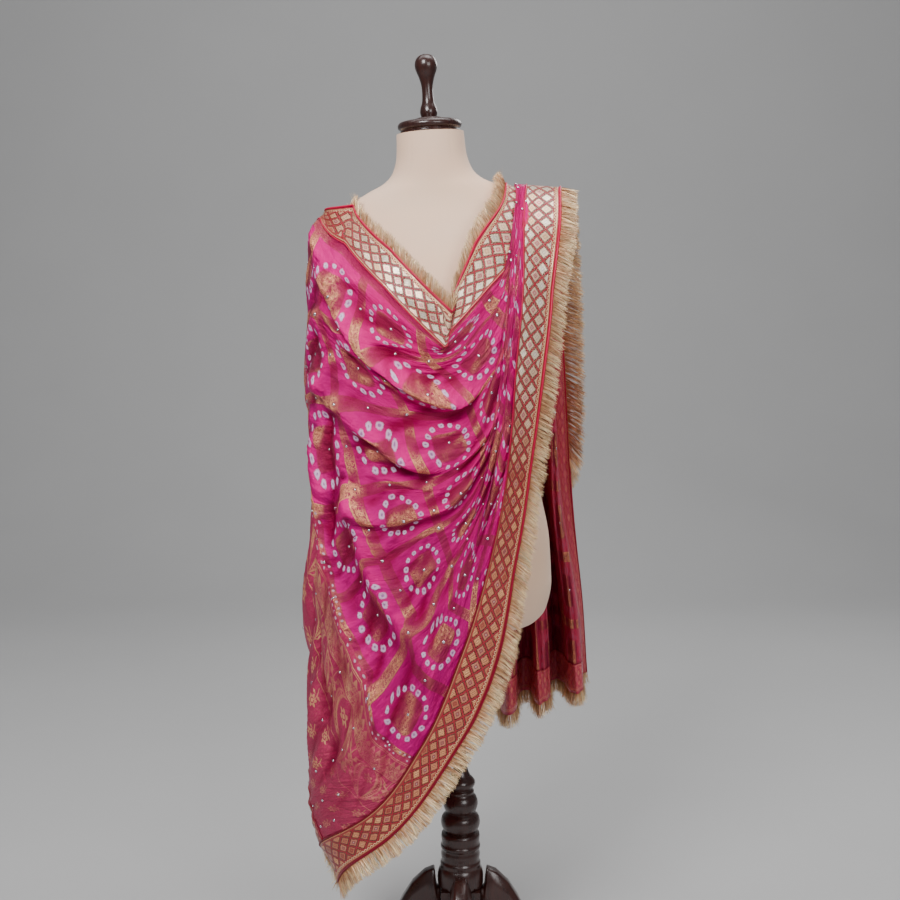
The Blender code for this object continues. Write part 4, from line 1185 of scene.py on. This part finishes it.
def plain_materials():
    """Materials of the trims, the form, the stand and the floor."""
    made = {}
    g = Graph("piping_satin", roughness=0.38, Specular_IOR_Level=0.35)
    # painted shade: the piping is darker lower down, by its height, and its satin varies at random
    # towards a lighter red
    where = g.place()
    lit = g.parts(where)[2].ramp(0.55, 2.2)
    satin = g.mix(g.noise(where, 60.0), PIPING, PIPING_LIT)
    made["piping"] = g.finish(g.noise(where, 900.0, 1.0), 0.3, 0.0004,
                              Base_Color=g.mix(lit, PIPING_DARK, satin))

    g = Graph("fringe_thread", roughness=0.34)
    shade, up = g.uv("strand")
    colour = g.layered(
        g.mix((up * 1.6).clamp(), FRINGE_DARK, FRINGE_PALE),
        (g.noise(g.place(), 55.0).below(0.45, 0.08) * 0.45, FRINGE_BROWN),
        (((shade * 3.0).fraction() > 0.76) * 0.70, FRINGE_RUST),
        ((shade > 0.94) * 0.5, FRINGE_GREEN),
        (shade.below(0.10, 0.05) * 0.5, FRINGE_PINK))
    made["fringe"] = g.finish(Base_Color=colour, Metallic=shade * 0.35 + 0.10)

    g = Graph("stud_silver", roughness=0.16, metallic=0.95)
    made["stud"] = g.finish(Base_Color=g.mix(g.noise(g.place(), 300.0), SILVER, SILVER_DULL))

    g = Graph("form_cotton", roughness=0.85, Sheen_Weight=0.2)
    where = g.place()
    made["form"] = g.finish(g.noise(where, 700.0), 0.35, 0.0006,
                            Base_Color=g.mix(g.noise(where, 11.0, 3.0), CREAM, CREAM_WORN))

    g = Graph("turned_wood", roughness=0.28, Coat_Weight=0.35, Coat_Roughness=0.15)
    px, py, pz = g.parts(g.place())
    grain = g.noise(g.vector(px * 14.0, py * 14.0, pz * 1.6), 9.0, 5.0, 0.6, 0.6)
    pores = g.noise(g.vector(px * 90.0, py * 90.0, pz * 9.0), 12.0)
    colour = g.layered(g.mix(grain, WOOD_DARK, WOOD_LIT),
                       (pores.below(0.42, 0.08) * 0.5, WOOD_PORE))
    made["wood"] = g.finish(pores * 0.5 + grain, 0.25, 0.0008,
                            Base_Color=colour, Roughness=grain * 0.18 + 0.20)

    g = Graph("studio_floor", roughness=0.75)
    made["floor"] = g.finish(Base_Color=g.mix(g.noise(g.place(), 3.0), FLOOR, FLOOR_WORN))
    return made


# ---- The cloth and what is sewn to it

# Piping: its radius at the edges, at the long seams and at the ends, how far it stands out
# of the face, and how far in from the edge
EDGE_PIPING, SEAM_PIPING, END_PIPING = 0.0015, 0.0009, 0.0016
PIPING_LIFT = 0.0008
PIPING_INSET = 0.0012
# How many rows to each side are searched for the nearest place along a strip
RUN_ROWS = 16
# Along the cloth: where the fringes get longer, where the neckline's is raised and where it
# is tucked in, and where the outer one turns back; their aims there, and how much shorter
# the outer one is
LONGER_FROM = (1.15, 1.35)
RAISED_SPAN = (0.68, 0.78, 1.20, 1.35)
TUCKED_SPAN = (0.44, 0.54, 0.640, 0.665)
TUCKED_AIM = np.array([-0.2, 0.9, -0.9])
TURNED_SPAN = (1.50, 1.74)
TURNED_AIM = np.array([-0.35, 1.0, -0.45])
TURNED_CUT = 0.014
UP = np.array([0.0, 0.0, 1.0])
FRINGES = (
    ("name", "count", "seed", "curl", "layers"),
    ("neckline", 11000, 21, 0.10, 3),
    ("outer", 12500, 22, 0.06, 2),
    ("front_end", 2800, 23, 0.14, 2),
    ("back_end", 3600, 24, 0.14, 2),
)
# Studs: share left out midway along the bands, how far off the pattern one may lie, sides,
# rings as share of the radius and height, and the top
STUDS_LEFT_OUT = 0.35
STUD_MISS = 0.0045
STUD_SIDES = 10
STUD_RINGS = ((1.0, 0.0004), (0.96, 0.0010), (0.5, 0.0015))
STUD_HEIGHT = 0.0017


def run_along(places, column):
    """How far along a column's own line each place of a strip lies."""
    line = places[:, column]
    lengths = distances(line)
    heading = unit(np.gradient(line, axis=0))
    count = len(line)
    run = np.empty(places.shape[:2])
    for row in range(count):
        low, high = max(0, row - RUN_ROWS), min(count, row + RUN_ROWS + 1)
        gap = places[row][:, None] - line[None, low:high]
        nearest = np.argmin(np.sum(gap**2, axis=-1), axis=1)
        beyond = np.sum(gap[np.arange(len(nearest)), nearest] * heading[low + nearest], axis=-1)
        run[row] = lengths[low + nearest] + beyond
    return run


def make_borders(grid, spans):
    """The four strips. Each has its own coordinates: a along it, b across from its outer edge."""
    mats = (border_material("border_face", False), border_material("border_reverse", True))
    borders = {}
    for which, part in spans.items():
        made = borders[which] = sheet_mesh("border_%s_cloth" % which, grid, part, mats)
        u, v = grid["u"][part], grid["v"][part]
        if which in ("neckline", "outer"):
            a = run_along(grid["places"][part], BORDER_COLUMNS // 2)
            b = v if which == "neckline" else CLOTH_WIDTH - v
        else:
            a, b = v, u if which == "front_end" else CLOTH_LENGTH - u
        add_uv(made, "lattice", both_sides(a, b))
    return borders


def make_piping(grid, seams, material):
    """The red piping along the strips' edges and seams."""
    places, across, out = grid["places"], grid["across"], grid["out"]
    front_seam, back_seam, c1, c2 = seams
    field = slice(c1, c2 + 1)
    routes = (
        ("neckline_edge", (slice(None), 0), EDGE_PIPING, 1),
        ("neckline_seam", (slice(None), c1), SEAM_PIPING, 0),
        ("outer_seam", (slice(None), c2), SEAM_PIPING, 0),
        ("outer_edge", (slice(None), -1), EDGE_PIPING, -1),
        ("front_seam", (front_seam, field), END_PIPING, 0),
        ("back_seam", (back_seam, field), END_PIPING, 0),
    )
    return [tube_mesh("piping_" + name,
                      places[at] + out[at] * PIPING_LIFT + across[at] * (PIPING_INSET * inward),
                      out[at], radius, material)
            for name, at, radius, inward in routes]


def make_fringes(grid, material):
    """The four fringes, tucked or turned back where the photo hides them."""
    lengths, places = grid["lengths"], grid["places"]
    along, across, out = grid["along"], grid["across"], grid["out"]
    longer = BACK_FRINGE_LENGTH - FRINGE_LENGTH
    long_edge = FRINGE_LENGTH + longer * smooth_step(*LONGER_FROM, lengths)
    short_edge = np.full(places.shape[1], END_FRINGE_LENGTH)
    raised = 0.5 * plateau(*RAISED_SPAN, lengths)[:, None]
    neck_aim = unit(-across[:, 0] + raised * UP)
    tucked = plateau(*TUCKED_SPAN, lengths)[:, None]
    neck_aim = unit(neck_aim * (1 - tucked) + tucked * TUCKED_AIM)
    down = -0.25 * UP
    turned = smooth_step(*TURNED_SPAN, lengths)[:, None]
    outer_aim = (across[:, -1] + down) * (1 - turned) + turned * TURNED_AIM
    edges = {
        "neckline": (places[:, 0], neck_aim, out[:, 0], along[:, 0], long_edge * 0.9),
        "outer": (places[:, -1], unit(outer_aim), out[:, -1], along[:, -1],
                  long_edge - TURNED_CUT * turned[:, 0]),
        "front_end": (places[0], unit(-along[0] + down), out[0], across[0], short_edge),
        "back_end": (places[-1], unit(along[-1] + down), out[-1], across[-1], short_edge),
    }
    return {which: strand_mesh("fringe_%s_strands" % which, edges[which], *how, material)
            for which, *how in rows_of(FRINGES)}


def make_cloth(mats):
    """The field, the borders, the piping, the fringes and the studs."""
    lengths, front_seam, back_seam = row_lengths()
    c1, c2 = BORDER_COLUMNS, BORDER_COLUMNS + FIELD_COLUMNS
    edges = (0.0, BORDER_WIDTH, CLOTH_WIDTH - BORDER_WIDTH, CLOTH_WIDTH)
    columns = (BORDER_COLUMNS, FIELD_COLUMNS, BORDER_COLUMNS)
    widths = np.concatenate([[0.0]] + [np.linspace(low, high, count + 1)[1:]
                                       for low, high, count in zip(edges, edges[1:], columns)])
    places = folded(lengths, widths)
    along, across, out = frame_on(places)
    u, v = np.meshgrid(lengths, widths, indexing="ij")
    # relief: how far each place stands out of or sinks into the evened cloth; the materials paint a
    # highlight where it stands out and shade where it sinks
    relief = np.sum((places - evened(places, EVEN_RELIEF)) * out, axis=-1) / RELIEF_DEPTH
    grid = {"lengths": lengths, "widths": widths, "u": u, "v": v, "places": places,
            "along": along, "across": across, "out": out,
            "pattern": pattern_place(u, v), "relief": np.clip(relief, -1.0, 1.0)}

    everywhere, field = slice(None), slice(c1, c2 + 1)
    mats_cloth = (cloth_material("brocade_face", False), cloth_material("brocade_reverse", True))
    cloth = sheet_mesh("dupatta_cloth", grid, (slice(front_seam, back_seam + 1), field), mats_cloth)
    borders = make_borders(grid, {
        "neckline": (everywhere, slice(0, c1 + 1)),
        "outer": (everywhere, slice(c2, None)),
        "front_end": (slice(0, front_seam + 1), field),
        "back_end": (slice(back_seam, None), field),
    })
    trims = make_piping(grid, (front_seam, back_seam, c1, c2), mats["piping"])
    fringes = make_fringes(grid, mats["fringe"])
    studs = make_studs(grid, mats["stud"])
    return cloth, borders, trims, fringes, studs


def make_studs(grid, material):
    """Small domed sequins where the bands cross, midway along them and in each patch."""
    lengths, widths = grid["lengths"], grid["widths"]
    x, y = grid["pattern"]
    margin = BORDER_WIDTH + 0.006
    chance = np.random.default_rng(5)
    spots = [(i * CELL_ALONG / 2, j * CELL_ACROSS / 2)
             for i in range(-10, 30) for j in range(-4, 14)
             if not ((i + j) % 2 and chance.uniform() < STUDS_LEFT_OUT)]
    turns = 2 * math.pi * np.arange(STUD_SIDES) / STUD_SIDES
    circle = np.stack([np.cos(turns), np.sin(turns)], 1)
    around = [(k, (k + 1) % STUD_SIDES) for k in range(STUD_SIDES)]
    points, faces = [], []
    for sx, sy in spots:
        gap = (x - sx) ** 2 + (y - sy) ** 2
        at = np.unravel_index(np.argmin(gap), gap.shape)
        length, width = lengths[at[0]], widths[at[1]]
        if (gap[at] > STUD_MISS**2 or not margin <= width <= CLOTH_WIDTH - margin
                or not BORDER_WIDTH <= length <= CLOTH_LENGTH - BORDER_WIDTH):
            continue
        out = grid["out"][at]
        e1 = unit(np.cross(out, (0.3, 0.2, 1.0)))
        e2 = np.cross(out, e1)
        tip = chance.normal(0, 0.25, 2)
        size = chance.uniform(0.0018, 0.0025)
        lean = unit(out + e1 * tip[0] + e2 * tip[1])
        middle = grid["places"][at] + out * 0.0003
        base = len(points)
        for radius, height in STUD_RINGS:
            points += list(middle + lean * height + circle @ np.array([e1, e2]) * size * radius)
        points.append(middle + lean * STUD_HEIGHT)
        for ring in (base, base + STUD_SIDES):
            faces += [(ring + k, ring + m, ring + m + STUD_SIDES, ring + k + STUD_SIDES)
                      for k, m in around]
        ring = base + 2 * STUD_SIDES
        faces += [(ring + k, ring + m, ring + STUD_SIDES) for k, m in around]
        faces.append(tuple(range(base + STUD_SIDES - 1, base - 1, -1)))
    return new_object("sequins", points, faces, materials=(material,))


# ---- The form and its stand

TORSO_SECTIONS = (
    ("height", "half", "front", "back"),
    (0.000, 0.0850, 0.0560, 0.0560),
    (0.008, 0.1120, 0.0740, 0.0740),
    (0.028, 0.1300, 0.0860, 0.0880),
    (0.070, 0.1400, 0.0930, 0.0960),
    (0.130, 0.1400, 0.0930, 0.0950),
    (0.210, 0.1290, 0.0880, 0.0840),
    (0.290, 0.1180, 0.0860, 0.0760),
    (0.360, 0.1240, 0.0940, 0.0800),
    (0.430, 0.1390, 0.1120, 0.0880),
    (0.480, 0.1480, 0.1160, 0.0920),
    (0.530, 0.1510, 0.1020, 0.0920),
    (0.580, 0.1520, 0.0800, 0.0840),
    (0.605, 0.1460, 0.0680, 0.0760),
    (0.625, 0.1340, 0.0590, 0.0670),
    (0.640, 0.1170, 0.0540, 0.0600),
    (0.653, 0.0950, 0.0510, 0.0550),
    (0.664, 0.0720, 0.0490, 0.0510),
    (0.680, 0.0570, 0.0480, 0.0490),
    (0.702, 0.0505, 0.0475, 0.0480),
    (0.7325, 0.0485, 0.0470, 0.0470),
)
# How near a leg's points are welded, and its bevel: width, steps and least angle
LEG_WELD = 0.0002
LEG_BEVEL = 0.003
LEG_BEVEL_STEPS = 3
LEG_BEVEL_ANGLE = math.radians(25)
TORSO_SIDES = 144
# The form's seams by angle from the front, and their groove's share of depth and half width
TORSO_SEAMS = np.array([0.0, 0.62, 1.62, 2.55, math.pi, -2.55, -1.62, -0.62])
SEAM_DEPTH = 0.012
SEAM_HALF = 0.020
# Turned profiles from the top: height and radius. The cap and finial lean with the form
CAP_PROFILE = (
    (0.7550, 0.0120), (0.7535, 0.0200), (0.7505, 0.0235), (0.7500, 0.0380),
    (0.7480, 0.0440), (0.7440, 0.0462), (0.7400, 0.0455), (0.7370, 0.0420),
    (0.7345, 0.0435), (0.7328, 0.0430),
)
FINIAL_PROFILE = (
    (0.8436, 0.0030), (0.8420, 0.0085), (0.8370, 0.0140), (0.8290, 0.0162),
    (0.8210, 0.0150), (0.8120, 0.0115), (0.8000, 0.0085), (0.7880, 0.0080),
    (0.7760, 0.0090), (0.7670, 0.0120), (0.7610, 0.0125), (0.7553, 0.0110),
)
POST_PROFILE = (
    (0.5289, 0.0110), (0.3400, 0.0085), (0.3180, 0.0100), (0.3030, 0.0150),
    (0.2970, 0.0205), (0.2920, 0.0225), (0.2860, 0.0205), (0.2820, 0.0180),
    (0.2790, 0.0205), (0.2750, 0.0205), (0.2700, 0.0240), (0.2600, 0.0268),
    (0.2500, 0.0245), (0.2456, 0.0220), (0.2400, 0.0275), (0.2300, 0.0300),
    (0.2200, 0.0275), (0.2150, 0.0240), (0.2120, 0.0290), (0.1960, 0.0290),
    (0.1940, 0.0302), (0.1900, 0.0302), (0.1880, 0.0285), (0.1800, 0.0300),
    (0.1700, 0.0290), (0.1660, 0.0310), (0.1600, 0.0310), (0.1560, 0.0330),
    (0.1470, 0.0350), (0.1380, 0.0350), (0.1310, 0.0345), (0.1280, 0.0330),
)


def ring_mesh(name, rings, material):
    """A closed solid through rings of points."""
    rings = np.asarray(rings, float)
    count, sides = rings.shape[:2]
    index = np.arange(count * sides).reshape(count, sides)
    nxt = np.roll(index, -1, 1)
    faces = np.stack([index[:-1].ravel(), index[1:].ravel(), nxt[1:].ravel(), nxt[:-1].ravel()], 1)
    ends = [index[0].tolist(), index[-1].tolist()[::-1]]
    made = new_object(name, rings, faces.tolist() + ends, materials=(material,))
    made.data.set_sharp_from_angle(angle=math.radians(50))
    return made


def between_knots(knots, per_step):
    """The knots with even steps between them."""
    steps = [np.linspace(a, b, per_step, endpoint=False) for a, b in zip(knots[:-1], knots[1:])]
    return np.concatenate(steps + [[knots[-1]]])


def lathe(name, profile, sides, material, per_step=4):
    """A turned solid with a smooth profile."""
    table = np.array(profile)
    knots = distances(table)
    curve = spline(knots, table, between_knots(knots, per_step))
    turns = 2 * math.pi * np.arange(sides) / sides
    rings = [[(r * math.cos(t), r * math.sin(t), z) for t in turns] for z, r in curve]
    return ring_mesh(name, rings, material)


def leaning(obj):
    """Put a piece of the form at its lean on the stand."""
    c, s = math.cos(FORM_LEAN), math.sin(FORM_LEAN)
    co = np.empty(len(obj.data.vertices) * 3)
    obj.data.vertices.foreach_get("co", co)
    co = co.reshape(-1, 3)
    turned = np.stack([co[:, 0] * c + co[:, 2] * s, co[:, 1], -co[:, 0] * s + co[:, 2] * c], 1)
    turned[:, 2] += FORM_BASE_HEIGHT
    obj.data.vertices.foreach_set("co", turned.ravel())
    obj.data.update()
    return obj


def make_form(mats):
    """The padded form with its seams, the cap, the finial and the post."""
    table = np.array(rows_of(TORSO_SECTIONS))
    heights = between_knots(table[:, 0], 6)
    curve = spline(table[:, 0], table[:, 1:], heights)
    turns = 2 * math.pi * np.arange(TORSO_SIDES) / TORSO_SIDES
    gap = np.min(np.abs((turns[:, None] - TORSO_SEAMS + math.pi) % (2 * math.pi) - math.pi), axis=1)
    groove = 1 - SEAM_DEPTH * np.exp(-(gap / SEAM_HALF) ** 2)
    rings = []
    for height, (half, front, back) in zip(heights, curve):
        depth = np.where(np.cos(turns) > 0, front, back)
        rings.append(np.stack([half * np.sin(turns) * groove, -depth * np.cos(turns) * groove,
                               np.full(TORSO_SIDES, height)], 1))
    torso = leaning(ring_mesh("form_body", rings[::-1], mats["form"]))
    cap = leaning(lathe("cap_turned", CAP_PROFILE, 72, mats["wood"]))
    finial = leaning(lathe("finial_turned", FINIAL_PROFILE, 48, mats["wood"]))
    post = lathe("post_turned", POST_PROFILE, 64, mats["wood"], 3)
    return torso, cap, finial, post


def make_leg(name, node, material):
    """A leg of the stand, rounded from its solid."""
    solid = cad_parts[node]
    made = bpy.data.objects.new(name, solid.data.copy())
    bpy.context.scene.collection.objects.link(made)
    made.data.materials.clear()
    made.data.materials.append(material)
    weld = made.modifiers.new("weld", "WELD")
    weld.merge_threshold = LEG_WELD
    bevel = made.modifiers.new("bevel", "BEVEL")
    bevel.width = LEG_BEVEL
    bevel.segments = LEG_BEVEL_STEPS
    bevel.limit_method = "ANGLE"
    bevel.angle_limit = LEG_BEVEL_ANGLE
    bpy.context.view_layer.update()
    modified = made.evaluated_get(bpy.context.evaluated_depsgraph_get())
    shape = bpy.data.meshes.new_from_object(modified)
    made.modifiers.clear()
    made.data = shape
    made.data.shade_smooth()
    made.data.set_sharp_from_angle(angle=math.radians(40))
    return made


# ---- Camera, light and floor

CAMERA_PLACE = (-0.016, -2.0, 1.04)
CAMERA_TILT = math.radians(90 - 6.8)
CAMERA_SENSOR = 36.0
CAMERA_LENS = 54.4
LAMPS = (
    ("name", "place", "size", "power", "aim"),
    ("key", (-0.9, -1.9, 2.35), 0.9, 60.0, (0, 0, 0.95)),
    ("fill", (1.3, -2.5, 1.7), 1.2, 30.0, (0, 0, 0.85)),
    ("top", (0.3, -0.2, 3.0), 1.2, 18.0, (0, 0, 0.8)),
    ("wall", (0.0, 0.6, 3.0), 2.4, 42.0, (0, 3.0, 1.0)),
    ("rim", (1.2, 1.8, 2.2), 1.2, 20.0, (0, 0, 0.9)),
)
WORLD_GREY = (0.60, 0.60, 0.62, 1.0)
WORLD_POWER = 0.28
# The floor sweeps up into a wall: half its width, how far back it bends, how round, how high
FLOOR_REACH = 6.0
WALL_BACK = 2.4
WALL_BEND = 1.4
WALL_TOP = 5.0


def make_stage(mats):
    """The camera at the photograph's angle, soft light and a plain floor."""
    cam = bpy.data.objects.new("camera", bpy.data.cameras.new("camera"))
    bpy.context.scene.collection.objects.link(cam)
    cam.location = CAMERA_PLACE
    cam.rotation_euler = (CAMERA_TILT, 0.0, 0.0)
    cam.data.sensor_width = CAMERA_SENSOR
    cam.data.lens = CAMERA_LENS
    bpy.context.scene.camera = cam

    for name, place, size, power, aim in rows_of(LAMPS):
        lamp = bpy.data.objects.new(name, bpy.data.lights.new(name, "AREA"))
        lamp.data.energy = power
        lamp.data.size = size
        lamp.location = place
        away = np.array(place) - np.array(aim)
        yaw = math.atan2(away[1], away[0]) + math.pi / 2
        pitch = math.acos(away[2] / np.linalg.norm(away))
        lamp.rotation_euler = (pitch, 0.0, yaw)
        bpy.context.scene.collection.objects.link(lamp)

    world = bpy.data.worlds.new("studio")
    world.use_nodes = True
    background = world.node_tree.nodes["Background"]
    background.inputs["Color"].default_value = WORLD_GREY
    background.inputs["Strength"].default_value = WORLD_POWER
    bpy.context.scene.world = world

    profile = [(-FLOOR_REACH, 0.0)]
    profile += [(WALL_BACK + WALL_BEND * math.sin(t), WALL_BEND * (1 - math.cos(t)))
                for t in np.linspace(0.0, math.pi / 2, 17)]
    profile.append((WALL_BACK + WALL_BEND, WALL_TOP))
    points = [(side * FLOOR_REACH, y, z) for y, z in profile for side in (-1, 1)]
    faces = [(2 * k, 2 * k + 1, 2 * k + 3, 2 * k + 2) for k in range(len(profile) - 1)]
    floor = new_object("floor", points, faces, materials=(mats["floor"],))


def main():
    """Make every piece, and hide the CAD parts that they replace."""
    mats = plain_materials()
    cloth, borders, trims, fringes, studs = make_cloth(mats)
    torso, cap, finial, post = make_form(mats)
    legs = [make_leg("leg_rounded_%d" % k, "leg_%d" % k, mats["wood"]) for k in range(1, 5)]
    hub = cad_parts["hub"]
    hub.data.materials.clear()
    hub.data.materials.append(mats["wood"])

    everything = [cloth, studs, torso, cap, finial, post]
    everything += list(borders.values()) + trims + list(fringes.values()) + legs
    for piece in everything:
        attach(piece, "root")
    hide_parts("dupatta_field")
    for which, piece in borders.items():
        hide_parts("border_" + which)
    for which, piece in fringes.items():
        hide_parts("fringe_" + which)
    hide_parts("torso_form")
    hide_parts("neck_cap")
    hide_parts("finial")
    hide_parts("post")
    for k, leg in enumerate(legs):
        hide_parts("leg_%d" % (k + 1))
    for piece in list(borders.values()) + trims:
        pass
    for piece in [cap, finial, post] + legs:
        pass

    [studs] + trims + list(fringes.values())

    make_stage(mats)
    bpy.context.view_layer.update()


main()
